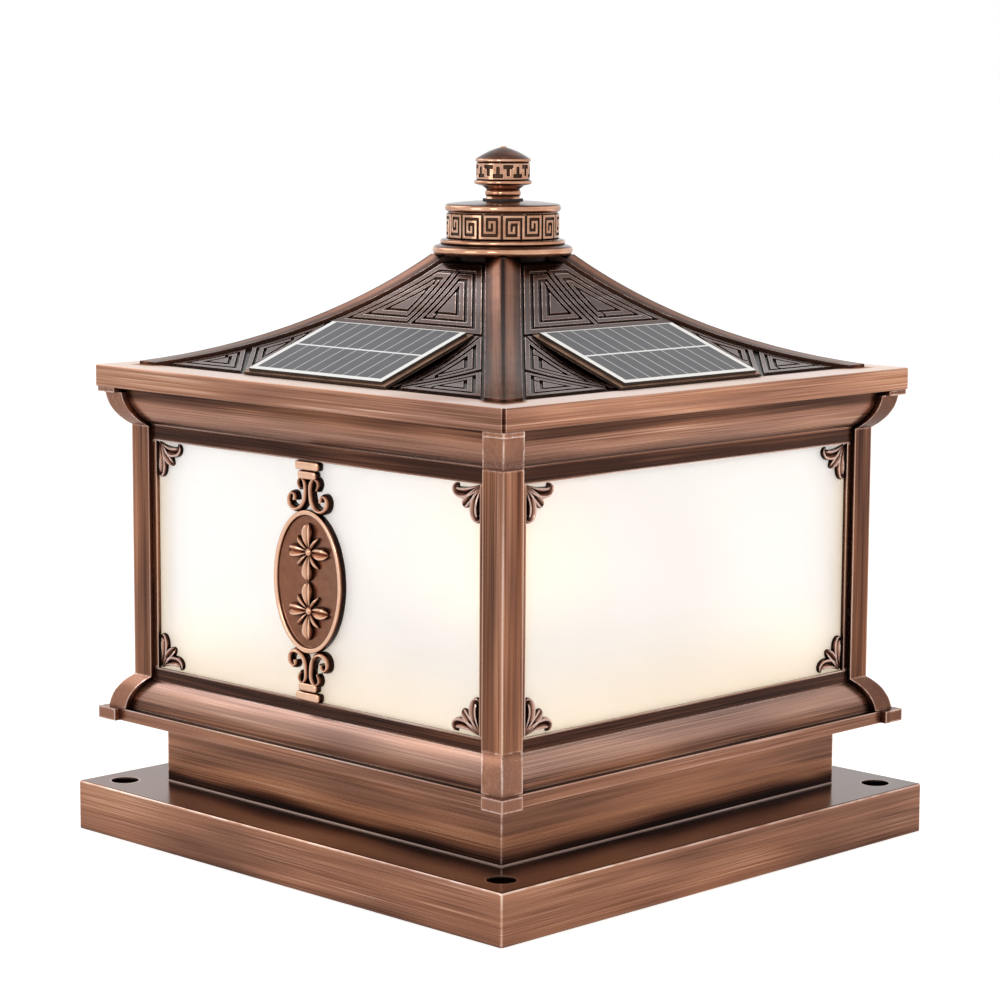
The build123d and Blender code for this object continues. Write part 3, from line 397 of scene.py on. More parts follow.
def copper_roof(name):
    """Brushed fascia, a rim painted pale as a painted reflection, a lacquered dark roof whose ribs are painted
    lighter as a painted highlight, and hips with a painted dark spine and painted light and shade along their
    flanks.
    """
    material, shader, place, normal = new_finish(name, Coat_Roughness=0.12, Coat_IOR=1.8)
    x, y, z = millimetres(place)
    up = normal.parts()[2]
    out = outward(x, y)
    beside = out - sideways(x, y)
    above = z.rise(EAVE_TOP + 0.2, EAVE_TOP + 0.5)
    on_roof = z.rise(EAVE_TOP - 0.4, EAVE_TOP + 0.3) * out.rise(ROOF_FOOT, ROOF_FOOT - 1.5).most(above)
    rim = up.rise(0.9, 0.98) * (1 - on_roof) * z.rise(EAVE_TOP - 1, EAVE_TOP - 0.5)
    under = up.rise(-0.6, -0.9)

    # Ribs stand above the arc of the roof's plain face; they are painted lighter as a painted highlight
    reach = ROOF_ARC_OUT - out
    height = z - ROOF_ARC_UP + (ROOF_RADIUS ** 2 - reach * reach).most(0.0).root()
    rib = height.rise(0.55, 0.95)

    # Hips are drawn along their length, with a painted dark spine, painted light and shade bands along their
    # flanks, and painted shadows at their feet on the rim
    hip = beside.rise(12.9, 11.9)
    drawn = place.add("CombineXYZ", X=beside, Y=out * 0.03).noise((0.9, 0.9, 0.9), 2.0) - 0.5
    spine = beside.rise(1.6, 0.6)
    flank = beside.near(4.6, 1.0, 3.0) * 0.18 - spine * 0.24 - beside.rise(8.5, 11.0) * 0.12
    foot = rim * beside.rise(16.0, 10.0) * out.rise(134.0, 128.0)

    cast = place.noise((150, 150, 150), 3.0) - 0.5
    face = rib * 0.2 - 0.02
    face = face + (flank + drawn * 0.3 + 0.27 - face) * hip + cast * 0.12
    # Painted reflection makes the rim pale; painted shade darkens undersides and the rim at the hips' feet
    tone = (face - 0.61) * on_roof + 0.61 + rim * 0.42 - under * 0.2 - foot * 0.5
    golden = 0.3 - on_roof * 0.3
    colour, rough, marks, hollow = brushed(place, "xy", tone, 1 - on_roof * 0.9, 0.6, golden=golden)
    bump = (marks * (1 - on_roof) + cast * on_roof).bump(0.2, 0.12)
    gloss = on_roof * rib * 0.27 * (1 - hollow) * (1 - hip)
    feed(shader, Base_Color=colour, Roughness=rough - on_roof * 0.04 + rim * 0.25, Metallic=0.9 - rim * 0.7)
    feed(shader, Coat_Weight=gloss, Normal=bump)
    return material


def turned_copper(name, sunk=None):
    """Bright turned copper with rings of the lathe, darker in hollows and within the sunk radius if one is
    given, partly as patina and partly as painted shade, with a painted dark reflection on faces that look up,
    painted shade on faces that look down, and edges lightened as rubbing wear and as a painted highlight.
    """
    material, shader, place, normal = new_finish(name, Metallic=0.95)
    rings = place.noise((25, 25, 1500), 3.0, 0.65)
    cast = place.noise((60, 60, 160), 3.0)
    # Hollows and, if a sunk radius is given, all within it are darkened, partly as patina and partly as
    # painted shade
    stain, rubbed_and_highlit = hollows_and_edges(place, 0.5, 3.0)
    if sunk:
        x, y = millimetres(place, "xy")
        stain = stain.most((x * x + y * y).root().rise(sunk + 0.1, sunk - 0.1))
    up = normal.parts()[2]
    # Faces that look up are painted darker as a painted dark reflection, faces that look down as painted shade
    tone = rings * 0.2 + cast * 0.6 + 0.22 - up.rise(0.5, 0.8) * 0.55 - up.rise(-0.25, -0.7) * 0.3
    colour = tone.ramp(TURNED_TONES)
    colour = colour.shift(DARK_BROWN, stain * 0.92)
    # Free edges are lightened, partly as rubbing wear and partly as a painted highlight
    colour = colour.shift(tint(0.98, 0.84, 0.74), rubbed_and_highlit * 0.6 * (1 - stain))
    rough = rings * 0.12 + 0.1 + stain * 0.25
    feed(shader, Base_Color=colour, Roughness=rough, Normal=rings.bump(0.12, 0.1))
    return material


def cast_copper(name, tones, axis, low, high):
    """Cast ornaments on the panes across an axis, growing lighter from one height to another as rubbing wear
    and as a painted highlight, with faces that look out from the pane painted lighter than their sides as
    painted light.
    """
    material, shader, place, normal = new_finish(name, Metallic=0.92)
    height = place.parts()[axis].size() * (1 / MM) - PANE_FACE
    facing_light = normal.parts()[axis].size().rise(0.15, 0.85)
    cast = place.noise((260, 260, 260), 4.0) - 0.5
    hollow, rubbed_and_highlit = hollows_and_edges(place, 0.4, 3.0)
    # Painted light: faces that look out from the pane lighter than their sides; raised parts lighter as
    # rubbing wear and a painted highlight; hollows darker as patina and painted shade; free edges lighter as
    # rubbing wear and a painted highlight
    tone = cast * 0.2 + facing_light * 0.34 + height.rise(low, high) * 0.48 - 0.04 - hollow * 0.4 + rubbed_and_highlit * 0.36
    rough = cast * 0.15 + 0.24 + hollow * 0.2
    feed(shader, Base_Color=tone.ramp(tones), Roughness=rough, Normal=cast.bump(0.2, 0.15))
    return material


def frosted_pane(name):
    """Warm white frosted acrylic that the lamp shows through as a soft glow, with a painted glow of its own as
    though lit from inside; its colour and that painted glow turn amber at its edges and foot as painted light.
    """
    # Painted light: the pane is given its own glow, though it is no lamp
    material, shader, place, _ = new_finish(
        name, Transmission_Weight=0.6, IOR=1.45, Emission_Strength=0.24, Metallic=0.0
    )
    x, y, z = millimetres(place)
    edge = sideways(x, y).rise(WINDOW_HALF - 9.0, WINDOW_HALF + 1.0)
    slope = z.rise(WINDOW_MIDDLE + 4.0, WINDOW_LOW - 4.0)
    low = slope * slope
    frost = place.noise((900, 900, 900), 2.0)
    cloud = place.noise((14, 14, 14), 2.0)
    colour = cloud.mottle(tint(0.965, 0.96, 0.955), tint(0.98, 0.975, 0.97))
    # Painted light: warm amber at the edges and the foot, in colour and in glow
    colour = colour.shift(tint(0.98, 0.91, 0.79), edge.most(low * 0.55) * 0.5)
    glow = cloud.mottle(tint(0.79, 0.78, 0.775), tint(0.80, 0.79, 0.785))
    glow = glow.shift(tint(0.98, 0.88, 0.73), edge.most(low * 2.0) * 0.4)
    rough = frost * 0.08 + 0.36
    feed(shader, Base_Color=colour, Roughness=rough, Emission_Color=glow, Normal=frost.bump(0.15, 0.1))
    return material


def solar_laminate(name):
    """Grey cells in ten columns and two rows, with pale lines and a white border."""
    material, shader, place, normal = new_finish(name, Coat_Roughness=0.05, Specular_IOR_Level=0.25)
    x, y = millimetres(place, "xy")
    out = outward(x, y)
    across = sideways(x, y)
    slope = (out - PANEL_HIGH) * (1.0 / (PANEL_LOW - PANEL_HIGH))
    from_middle = (slope - 0.5).size()
    border = across.rise(PANEL_HALF - 3.4, PANEL_HALF - 3.1).most(from_middle.rise(0.448, 0.452))
    column_width = (PANEL_HALF - 3.2) / 5
    fingers_down = 46
    column_line = ((across / column_width).fraction() - 0.5).size().rise(0.455, 0.475)
    middle_line = from_middle.rise(0.0125, 0.0095)
    finger = ((slope * fingers_down).fraction() - 0.5).size().rise(0.38, 0.44)
    speck = place.noise((2600, 2600, 2600), 2.0, 0.7)
    cloud = place.noise((60, 60, 60), 2.0)
    cell = (speck * 0.55 + cloud * 0.45).mottle(tint(0.17, 0.17, 0.19), tint(0.27, 0.27, 0.29))
    cell = cell.shift(tint(0.60, 0.60, 0.62), finger * 0.25)
    cell = cell.shift(tint(0.86, 0.86, 0.87), column_line * 0.8)
    cell = cell.shift(tint(0.93, 0.93, 0.93), middle_line)
    cell = cell.shift(tint(0.95, 0.95, 0.94), border)
    top = normal.parts()[2].rise(0.5, 0.7)
    colour = cell.shift(tint(0.22, 0.18, 0.16), 1 - top)
    feed(shader, Base_Color=colour, Roughness=speck * 0.1 + 0.3, Coat_Weight=top * 0.12)
    return material


def bronze_tray(name):
    """Bronze lip round a panel over nearly black sides."""
    material, shader, place, normal = new_finish(name, Metallic=0.6)
    cloud = place.noise((120, 120, 120), 3.0)
    hollow, rubbed_and_highlit = hollows_and_edges(place, 0.4, 3.0)
    side = normal.parts()[2].rise(0.6, 0.3)
    colour = cloud.mottle(tint(0.50, 0.36, 0.27), tint(0.70, 0.54, 0.43))
    # Darker in hollows, partly as patina and partly as painted shade; free edges lightened, partly as rubbing
    # wear and partly as a painted highlight
    colour = colour.shift(DARK_BROWN, side * 0.85 + hollow * 0.1)
    colour = colour.shift(tint(0.86, 0.74, 0.66), rubbed_and_highlit * 0.7)
    feed(shader, Base_Color=colour, Roughness=cloud * 0.2 + 0.3)
    return material


def milled_metal(name, tones, scale, roughness, paint=None):
    """Bare metal with the marks of the mill, painted where it doesn't face up if a paint is given."""
    material, shader, place, normal = new_finish(name, Metallic=1.0)
    marks = place.noise(scale, 3.0, 0.65)
    stain = place.noise((35, 35, 35), 3.0)
    colour = (marks * 0.5 + stain * 0.5).mottle(*tones)
    if paint:
        colour = colour.shift(paint, normal.parts()[2].rise(0.6, 0.3))
    rough = marks * 0.2 + (roughness - 0.1)
    feed(shader, Base_Color=colour, Roughness=rough, Normal=marks.bump(0.2, 0.1))
    return material


def moulded(name, dark, light, roughness, grain=700):
    """Moulded plastic, rubber or sheath with a fine grain."""
    material, shader, place, _ = new_finish(name)
    pores = place.noise((grain, grain, grain), 3.0, 0.6)
    stain = place.noise((40, 40, 40), 2.0)
    colour = (pores * 0.4 + stain * 0.6).mottle(dark, light)
    rough = pores * 0.2 + (roughness - 0.1)
    feed(shader, Base_Color=colour, Roughness=rough, Normal=pores.bump(0.3, 0.15))
    return material


def glowing(name, dark, light, strength, grain, shade=None):
    """Lit opal plastic or phosphor; between the two heights of a shade, if given, it turns amber."""
    material, shader, place, _ = new_finish(name, Emission_Strength=strength, Roughness=0.5)
    colour = place.noise((grain, grain, grain), 2.0).mottle(dark, light)
    if shade:
        [height] = millimetres(place, "z")
        colour = colour.shift(AMBER, height.rise(*shade) * 0.85)
    feed(shader, Base_Color=colour.shift(tint(0.28, 0.24, 0.18), 0.8), Emission_Color=colour)
    return material


def circuit_board(name):
    """Green board with copper tracks under the lacquer."""
    material, shader, place, _ = new_finish(name, Coat_Weight=0.3)
    tracks_per_metre = 400
    tracks = (place.parts()[0] * tracks_per_metre).fraction().near(0.5, 0.12, 0.05)
    whole = place.noise((120, 30, 10), 1.0).rise(0.5, 0.52)
    weave = place.noise((900, 900, 900), 2.0)
    colour = weave.mottle(tint(0.05, 0.22, 0.12), tint(0.08, 0.32, 0.18))
    colour = colour.shift(tint(0.25, 0.50, 0.28), tracks * whole * 0.7)
    feed(shader, Base_Color=colour, Roughness=weave * 0.2 + 0.3)
    return material


def clear_selection():
    """Leave edit mode and deselect everything."""
    if bpy.context.object and bpy.context.object.mode != "OBJECT":
        bpy.ops.object.mode_set(mode="OBJECT")
    bpy.ops.object.select_all(action="DESELECT")


def take(piece):
    """Select one piece alone and make it the active one."""
    clear_selection()
    piece.select_set(True)
    bpy.context.view_layer.objects.active = piece
    return piece


def pick(piece, kind, test):
    """Open a piece for editing with only those faces or edges selected that pass a test."""
    take(piece)
    bpy.ops.object.mode_set(mode="EDIT")
    bpy.ops.mesh.select_mode(type=kind)
    bpy.ops.mesh.select_all(action="DESELECT")
    bpy.ops.object.mode_set(mode="OBJECT")
    mesh = piece.data
    if kind == "FACE":
        for face in mesh.polygons:
            face.select = test(face)
    else:
        for edge in mesh.edges:
            start, end = (mesh.vertices[index].co for index in edge.vertices)
            edge.select = test(start, end)
    bpy.ops.object.mode_set(mode="EDIT")


def apply_modifier(piece, kind, **settings):
    """Add a modifier to a piece and apply it."""
    take(piece)
    modifier = piece.modifiers.new(kind.lower(), kind)
    for key, value in settings.items():
        setattr(modifier, key, value)
    bpy.ops.object.modifier_apply(modifier=modifier.name)


def round_edges(piece, width, segments, angle):
    """Bevel the edges that bend more than an angle."""
    apply_modifier(
        piece, "BEVEL", width=width * MM, segments=segments, limit_method="ANGLE", angle_limit=radians(angle)
    )


def close_up(piece, angle=35):
    """Merge doubles, turn faces outwards and smooth what isn't an edge."""
    take(piece)
    bpy.ops.object.mode_set(mode="EDIT")
    bpy.ops.mesh.select_all(action="SELECT")
    bpy.ops.mesh.remove_doubles(threshold=0.02 * MM)
    bpy.ops.mesh.normals_make_consistent(inside=False)
    bpy.ops.object.mode_set(mode="OBJECT")
    bpy.ops.object.shade_smooth_by_angle(angle=radians(angle))


def stretch(piece, value, **settings):
    """Scale the whole of a piece's mesh."""
    take(piece)
    bpy.ops.object.mode_set(mode="EDIT")
    bpy.ops.mesh.select_all(action="SELECT")
    bpy.ops.transform.resize(value=value, **settings)
    bpy.ops.object.mode_set(mode="OBJECT")


def gather(pieces):
    """Join pieces into the first one."""
    clear_selection()
    for piece in pieces:
        piece.select_set(True)
    bpy.context.view_layer.objects.active = pieces[0]
    bpy.ops.object.join()
    return bpy.context.object


def copy_of(piece):
    """A copy of a piece with a mesh of its own."""
    take(piece)
    bpy.ops.object.duplicate()
    return bpy.context.object


def place_piece(piece, location=(0, 0, 0), rotation=(0, 0, 0), scale=(1, 1, 1)):
    """Move, turn and mirror a piece, and put that into its mesh."""
    take(piece)
    piece.location = Vector(location) * MM
    piece.rotation_euler = [radians(angle) for angle in rotation]
    piece.scale = scale
    bpy.ops.object.transform_apply(location=True, rotation=True, scale=True)
    return piece


def settle(piece, name, finish, body, slot, *stands_for):
    """Name a finished piece, give it its finish and set it on its body."""
    piece.name = name
    piece.data.name = name
    piece.data.materials.clear()
    piece.data.materials.append(finish)
    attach(piece, body)
    if stands_for:
        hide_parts(*stands_for)


def turned_fret(band, pattern, repeats, raised):
    """A ring with a meander standing out of it: # in the pattern is raised."""
    radius, low, high = (size * MM for size in band)
    rows = len(pattern)
    columns = len(pattern[0]) * repeats
    clear_selection()
    bpy.ops.mesh.primitive_cylinder_add(
        vertices=columns, radius=radius, depth=high - low,
        end_fill_type="NOTHING", location=(0, 0, (low + high) / 2),
    )
    ring = bpy.context.object
    bpy.ops.object.transform_apply(location=True)
    pick(ring, "EDGE", lambda a, b: abs(a.z - b.z) > radius * 0.01)
    bpy.ops.mesh.subdivide(number_cuts=rows - 1)
    bpy.ops.object.mode_set(mode="OBJECT")

    def stands_out(face):
        column = int((atan2(face.center.y, face.center.x) / (2 * pi) % 1.0) * columns)
        row = min(int((high - face.center.z) / (high - low) * rows), rows - 1)
        return pattern[row][column % len(pattern[0])] == "#"

    pick(ring, "FACE", stands_out)
    bpy.ops.mesh.extrude_region_shrink_fatten(TRANSFORM_OT_shrink_fatten={"value": raised * MM})
    bpy.ops.object.mode_set(mode="OBJECT")

    def within(share, a, b):
        return max(a.xy.length, b.xy.length) < radius * share

    def at_height(height, a, b):
        return abs(a.z - height) + abs(b.z - height) < SAME_HEIGHT

    # Both ends turn inwards, and a wall behind joins them
    inner = 0.94
    for level in (low, high):
        pick(ring, "EDGE", lambda a, b: at_height(level, a, b) and within(1.001, a, b))
        bpy.ops.mesh.extrude_edges_move()
        bpy.ops.transform.resize(value=(inner, inner, 1), center_override=(0, 0, level))
        bpy.ops.object.mode_set(mode="OBJECT")
    pick(ring, "EDGE", lambda a, b: within(inner + 0.01, a, b) and abs(a.z - b.z) < SAME_HEIGHT)
    bpy.ops.mesh.bridge_edge_loops()
    bpy.ops.object.mode_set(mode="OBJECT")
    close_up(ring)
    round_edges(ring, 0.16, 1, 50)
    close_up(ring, 30)
    return ring


def flat_path(points):
    """A new flat curve with one spline, whose points are x and y in millimetres."""
    clear_selection()
    bpy.ops.curve.primitive_nurbs_path_add()
    piece = bpy.context.object
    piece.data.dimensions = "2D"
    spline = piece.data.splines[0]
    spline.points.add(len(points) - len(spline.points))
    for point, (x, y) in zip(spline.points, points):
        point.co = (x * MM, y * MM, 0, 1)
    return piece, spline


def section(name, points):
    """A closed outline, one millimetre to the unit, that stems take as their section."""
    piece, spline = flat_path(points)
    piece.name = name
    spline.type = "POLY"
    spline.use_cyclic_u = True
    piece.hide_render = True
    return piece


def stem(points, profile, resolution=6):
    """A tapering moulded stem along a flat curve, as a mesh; points are x, y and half width in millimetres."""
    piece, spline = flat_path([(x, y) for x, y, half in points])
    for point, (x, y, half) in zip(spline.points, points):
        point.radius = half
    spline.order_u = 3
    spline.use_endpoint_u = True
    curve = piece.data
    curve.resolution_u = resolution
    curve.bevel_mode = "OBJECT"
    curve.bevel_object = profile
    curve.use_fill_caps = True
    bpy.ops.object.convert(target="MESH")
    piece = bpy.context.object
    close_up(piece, 40)
    return piece


# Sections: a leaf with two rolled edges and a hollow between, and a plain rounded stem
leaf_section = section("leaf_section", [
    (1.0, -0.1), (1.02, 0.5), (0.82, 0.95), (0.5, 1.0), (0.22, 0.62), (0.0, 0.42),
    (-0.22, 0.62), (-0.5, 1.0), (-0.82, 0.95), (-1.02, 0.5), (-1.0, -0.1),
])
stem_section = section("stem_section", [
    (1.0, -0.1), (1.0, 1.0), (0.86, 1.8), (0.5, 2.5), (0.16, 2.9),
    (-0.16, 2.9), (-0.5, 2.5), (-0.86, 1.8), (-1.0, 1.0), (-1.0, -0.1),
])

# Courses of the stems: x, y and half width
LEAF_LOBES = [
    [(0.6, 0.8, 0.8), (5, 3.2, 1.8), (10.0, 4.8, 2.7), (15.4, 4.6, 2.5), (16.8, 1.8, 1.7), (14.6, 1.2, 0.7)],
    [(0.8, 0.8, 0.8), (4.2, 4.0, 1.8), (7.6, 7.4, 2.6), (10.8, 10.2, 2.2), (11.6, 11.2, 0.7)],
    [(0.8, 0.6, 0.8), (3.0, 5, 1.8), (4.4, 10.0, 2.6), (4.0, 15.0, 2.4), (1.7, 16.4, 1.6), (1.0, 14.4, 0.7)],
]
PETAL = [(1.6, 0, 0.5), (4.4, 0, 2.1), (9.0, 0, 3.2), (12.4, 0, 2.5), (13.8, 0, 0.8)]
SEPAL = [(2.2, 0, 0.4), (4.0, 0, 0.8), (6.4, 0, 1.0), (8.6, 0, 0.9), (10.2, 0, 0.4)]
SCROLL = [
    (5.6, 10.6, 1.1), (7.4, 12.6, 1.2), (6.6, 15.4, 1.2), (3.6, 16.0, 1.3), (1.7, 13.2, 1.4),
    (1.7, 9.0, 1.4), (2.6, 4.6, 1.5), (5.4, 1.4, 1.6), (9.6, 0.6, 1.6), (13.0, 2.6, 1.5),
    (13.6, 6.4, 1.4), (11.2, 8.6, 1.3), (8.8, 7.4, 1.3), (9.2, 5.2, 1.5),
]


def corner_leaf():
    """Three curling lobes that spring from a window corner, in its own flat frame."""
    return gather([stem(course, leaf_section) for course in LEAF_LOBES])


def plaque():
    """Oval plaque with a rolled rim round a sunk field."""
    clear_selection()
    bpy.ops.mesh.primitive_cylinder_add(
        vertices=96, radius=1.0, depth=PLAQUE_THICK * MM, location=(0, 0, (PLAQUE_THICK / 2 - SEATED) * MM)
    )
    piece = bpy.context.object
    bpy.ops.object.transform_apply(location=True)
    stretch(piece, (PLAQUE_HALF[0] * MM, PLAQUE_HALF[1] * MM, 1))
    pick(piece, "FACE", lambda face: face.normal.z > 0.9)
    bpy.ops.mesh.inset(thickness=PLAQUE_RIM * MM)
    bpy.ops.mesh.inset(thickness=0.4 * MM, depth=-PLAQUE_SUNK * MM)
    bpy.ops.object.mode_set(mode="OBJECT")
    round_edges(piece, 0.8, 3, 60)
    close_up(piece, 35)
    return piece


def rosette():
    """Four-petal flower round a boss, raised on the plaque's field."""
    petals = []
    for course, profile, first_angle in ((PETAL, leaf_section, 0), (SEPAL, stem_section, 45)):
        for quarter in range(4):
            petal = stem(course, profile)
            petals.append(place_piece(petal, rotation=(0, 0, first_angle + 90 * quarter)))
    clear_selection()
    bpy.ops.mesh.primitive_uv_sphere_add(segments=24, ring_count=12, radius=2.3 * MM)
    boss = bpy.context.object
    stretch(boss, (1, 1, 0.8))
    bpy.ops.object.mode_set(mode="EDIT")
    bpy.ops.mesh.select_all(action="SELECT")
    bpy.ops.mesh.bisect(plane_co=(0, 0, 0), plane_no=(0, 0, 1), use_fill=True, clear_inner=True)
    bpy.ops.object.mode_set(mode="OBJECT")
    close_up(boss, 40)
    return gather(petals + [boss])


def cushion(width, low, high):
    """Rounded bar across a bracket's end, from one height to another."""
    middle = (0, (low + high) / 2 * MM, (CUSHION_THICK / 2 - SEATED) * MM)
    clear_selection()
    bpy.ops.mesh.primitive_cube_add(size=1, location=middle)
    piece = bpy.context.object
    bpy.ops.object.transform_apply(location=True)
    stretch(piece, (width * MM, (high - low) * MM, CUSHION_THICK * MM), center_override=middle)
    round_edges(piece, 1.3, 4, 40)
    close_up(piece, 35)
    return piece


def bracket():
    """Scrolled bracket between the plaque and a tie bar, its foot on the plaque's top edge."""
    scrolls = [
        stem([(side * x, y, half) for x, y, half in SCROLL], stem_section, 8)
        for side in (1, -1)
    ]
    return gather(scrolls + [cushion(12.6, 15.4, 19.4), cushion(16.4, 19.7, 24.0)])


set_camera()

# Finishes
base_copper = copper_base("copper_base")
post_copper = copper_post("copper_post")
rail_copper_front = copper_rail("copper_rail_front", "x")
rail_copper_side = copper_rail("copper_rail_side", "y")
roof_copper = copper_roof("copper_roof")
copper_turned = turned_copper("copper_turned")
collar_meander = turned_copper("copper_collar_meander", COLLAR_BAND[0] + 0.7)
knob_meander = turned_copper("copper_knob_meander", KNOB_BAND[0] + 0.5)
leaf_copper_front = cast_copper("copper_leaves_front", COPPER_TONES, 1, 1.0, 2.1)
leaf_copper_side = cast_copper("copper_leaves_side", COPPER_TONES, 0, 1.0, 2.1)
plaque_copper = cast_copper("copper_plaque", TURNED_TONES, 1, 2.5, 4.3)
pane_frost = frosted_pane("pane_frost")
cells = solar_laminate("solar_cells")
tray_bronze = bronze_tray("panel_tray_bronze")
aluminium = milled_metal("mill_aluminium", ALUMINIUM_TONES, (30, 30, 900), 0.4)
floor_metal = milled_metal("floor_plate_metal", ALUMINIUM_TONES, (30, 30, 900), 0.4, COPPER_PAINT)
stainless = milled_metal("stainless_steel", STEEL_TONES, (300, 300, 900), 0.3)
rubber = moulded("seal_rubber", tint(0.10, 0.06, 0.05), tint(0.19, 0.12, 0.10), 0.6)
black = moulded("black_plastic", tint(0.05, 0.05, 0.05), tint(0.11, 0.11, 0.11), 0.5)
red = moulded("button_red", tint(0.50, 0.06, 0.05), tint(0.66, 0.10, 0.08), 0.35)
wrap = moulded("cell_wrap", tint(0.10, 0.24, 0.52), tint(0.16, 0.33, 0.64), 0.3, 200)
sheath = moulded("lead_sheath", tint(0.06, 0.06, 0.06), tint(0.13, 0.13, 0.13), 0.55)
board = circuit_board("circuit_board")
globe = glowing("opal_globe", tint(1.0, 0.88, 0.66), tint(1.0, 0.91, 0.72), 1.5, 30, GLOBE_SHADE)
phosphor = glowing("led_phosphor", tint(1.0, 0.86, 0.45), tint(1.0, 0.92, 0.55), 3.0, 800)

# Finishes of the CAD nodes, by the longest start of a node's name
NODE_FINISH = {
    "base_tray": base_copper, "plinth_box": base_copper, "corner_post": post_copper, "roof_shell": roof_copper,
    "finial_collar": copper_turned, "finial_knob": copper_turned, "leaf_ornaments": leaf_copper_front,
    "medallion": plaque_copper, "pane": pane_frost, "pv_panel": cells, "panel_tray": tray_bronze,
    "floor_plate": floor_metal, "top_ring": aluminium, "underpan": aluminium, "lamp_stem": aluminium,
    "glazing_beads": aluminium, "base_screws": stainless, "post_screws": stainless, "rail_screws": stainless,
    "underpan_screws": stainless, "finial_stud": stainless, "finial_nut": stainless, "roof_clips": stainless,
    "roof_gasket": rubber, "knob_washer": rubber, "globe_diffuser": globe, "led_board": board,
    "controller_board": board, "led_chips": phosphor, "battery_cells": wrap, "battery_holder": black,
    "controller_case": black, "switch_housing": black, "power_button": red, "panel_leads": sheath,
    "inner_leads": sheath,
}
for side, angle in SIDES.items():
    for rail in ("lower_rail", "upper_rail"):
        NODE_FINISH[f"{rail}_{side}"] = rail_copper_front if angle % 180 == 0 else rail_copper_side
for node_name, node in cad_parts.items():
    match = max((start for start in NODE_FINISH if node_name.startswith(start)), key=len)
    node.data.materials.clear()
    node.data.materials.append(NODE_FINISH[match])

# Meanders on the finial's two bands
COLLAR_FRET = [
    "#########.#######.",
    "#.......#.#.....#.",
    "#.#####.#.#.###.#.",
    "#.#...#.#.#.#.#.#.",
    "#.#.#.#.#.#.#.#.#.",
    "#.#.#.#.#.#...#.#.",
    "#.###.#.#.#####.#.",
    "#.....#.#.......#.",
    "#######.#########.",
]
KNOB_FRET = [
    "############",
    "......######",
    "......##..##",
    "##..####..##",
    "##..####..##",
    "##..####..##",
    "##..##......",
    "######......",
    "############",
]
collar_fret = turned_fret(COLLAR_BAND, COLLAR_FRET, 8, 0.9)
settle(collar_fret, "collar_fret", collar_meander, "roof", "copper_finish")
knob_fret = turned_fret(KNOB_BAND, KNOB_FRET, 8, 0.7)
settle(knob_fret, "knob_fret", knob_meander, "knob_body", "copper_finish")

# Leaves in the four corners of each window
leaf = corner_leaf()
window_leaves = []
for across in (-1, 1):
    for up, level in ((1, WINDOW_LOW), (-1, WINDOW_HIGH)):
        upright = place_piece(copy_of(leaf), rotation=(90, 0, 0))
        spot = (across * (WINDOW_HALF - LEAF_INSET), -PANE_FACE, level + up * LEAF_INSET)
        window_leaves.append(place_piece(upright, spot, scale=(-across, 1, up)))
bpy.data.objects.remove(leaf)
leaves = gather(window_leaves)
close_up(leaves, 40)
for side, angle in SIDES.items():
    side_leaves = place_piece(copy_of(leaves), rotation=(0, 0, angle))
    finish = leaf_copper_front if angle % 180 == 0 else leaf_copper_side
    settle(side_leaves, f"window_leaves_{side}", finish, "cage", "ornament_copper", f"leaf_ornaments_{side}")
bpy.data.objects.remove(leaves)

# Medallions on the front and back panes
oval = plaque()
lower_flower = rosette()
upper_flower = place_piece(copy_of(lower_flower), (0, FLOWER_OUT, FLOWER_UP))
place_piece(lower_flower, (0, -FLOWER_OUT, FLOWER_UP))
upper_bracket = bracket()
lower_bracket = copy_of(upper_bracket)
bracket_foot = PLAQUE_HALF[1] - BRACKET_OVERLAP
place_piece(upper_bracket, (0, bracket_foot, 0))
place_piece(lower_bracket, (0, -bracket_foot, 0), scale=(1, -1, 1))
medallion = gather([oval, upper_flower, lower_flower, upper_bracket, lower_bracket])
close_up(medallion, 38)
place_piece(medallion, (0, -PANE_FACE, WINDOW_MIDDLE), (90, 0, 0))
back_medallion = place_piece(copy_of(medallion), rotation=(0, 0, 180))
settle(medallion, "medallion_plaque_front", plaque_copper, "cage", "ornament_copper", "medallion_front")
settle(back_medallion, "medallion_plaque_back", plaque_copper, "cage", "ornament_copper", "medallion_back")
bpy.data.objects.remove(leaf_section)
bpy.data.objects.remove(stem_section)


def seen_by(wire, *rays):
    """1 for the rays that are named: Camera, Glossy or Transmission."""
    path = wire.tree.nodes.new("ShaderNodeLightPath")
    first, *others = [Wire(wire.tree, path.outputs[f"Is {ray} Ray"]) for ray in rays]
    for other in others:
        first = first.most(other)
    return first


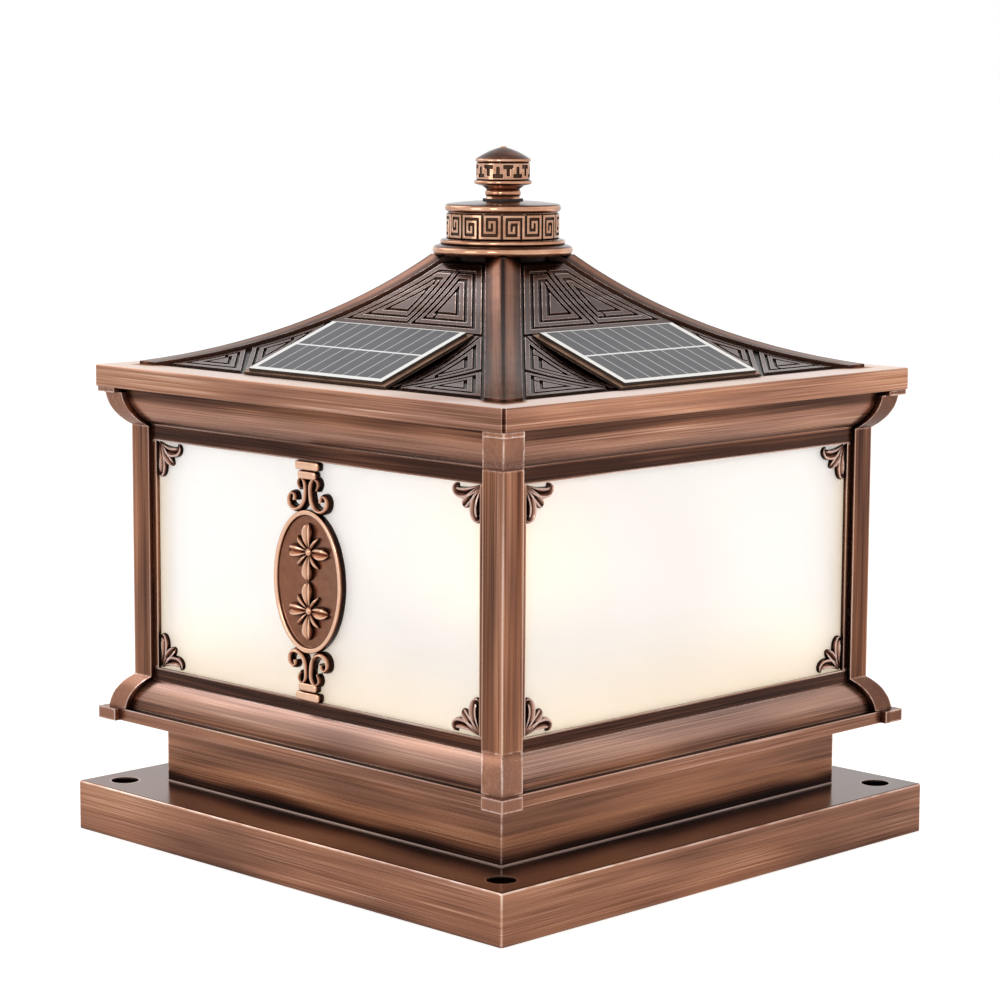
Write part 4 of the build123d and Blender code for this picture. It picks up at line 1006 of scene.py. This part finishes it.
def set_world(light):
    """A white surround that gives a share of its light and is seen at full strength."""
    world = bpy.data.worlds.new("studio")
    bpy.context.scene.world = world
    world.use_nodes = True
    sky = world.node_tree.nodes["Background"]
    sky.inputs["Color"].default_value = (1, 1, 1, 1)
    shown = seen_by(Wire(world.node_tree, sky.outputs[0]), "Camera", "Glossy", "Transmission")
    world.node_tree.links.new((shown * (1 - light) + light).socket, sky.inputs["Strength"])


def lay_floor(grey):
    """A pale floor just under the lantern that glows a little where it is seen, so that it stays white."""
    clear_selection()
    bpy.ops.mesh.primitive_plane_add(size=24, location=(0, 0, -0.2 * MM))
    floor = bpy.context.object
    floor.name = "floor"
    white, shader, place, _ = new_finish("floor_white", Roughness=0.9, Specular_IOR_Level=0.0)
    shader.inputs["Base Color"].default_value = (grey, grey, grey, 1)
    shader.inputs["Emission Color"].default_value = (1, 1, 1, 1)
    shown = seen_by(place, "Camera") * 0.5 + seen_by(place, "Glossy", "Transmission") * 0.2
    white.node_tree.links.new(shown.socket, shader.inputs["Emission Strength"])
    floor.data.materials.append(white)


def softbox(name, location, size, watts, colour=(1, 1, 1), aim=(0, 0, 0.15), mirrored=True):
    """A square or oblong lamp aimed at a place, which may be kept out of reflections."""
    lamp = bpy.data.lights.new(name, "AREA")
    lamp.shape = "RECTANGLE"
    lamp.size, lamp.size_y = size
    lamp.energy = watts
    lamp.color = colour
    rig = bpy.data.objects.new(name, lamp)
    bpy.context.scene.collection.objects.link(rig)
    rig.location = location
    rig.visible_glossy = mirrored
    rig.rotation_euler = (Vector(aim) - Vector(location)).to_track_quat("-Z", "Y").to_euler()


# Studio
set_world(0.7)
lay_floor(0.86)
softbox("left_high", (-1.5, -0.3, 1.5), (1.2, 1.2), 7, (0.96, 0.97, 1.0))
softbox("front_left", (-0.3, -1.9, 0.6), (0.7, 0.9), 4)
softbox("front_high", (0.9, -1.75, 0.9), (0.4, 0.4), 6, (1.0, 0.97, 0.94))
softbox("right_floor", (1.4, 1.3, 1.0), (1.2, 1.2), 16, (1.0, 0.86, 0.72), (1.25, 1.15, 0), False)
bpy.context.scene.view_settings.view_transform = "Standard"
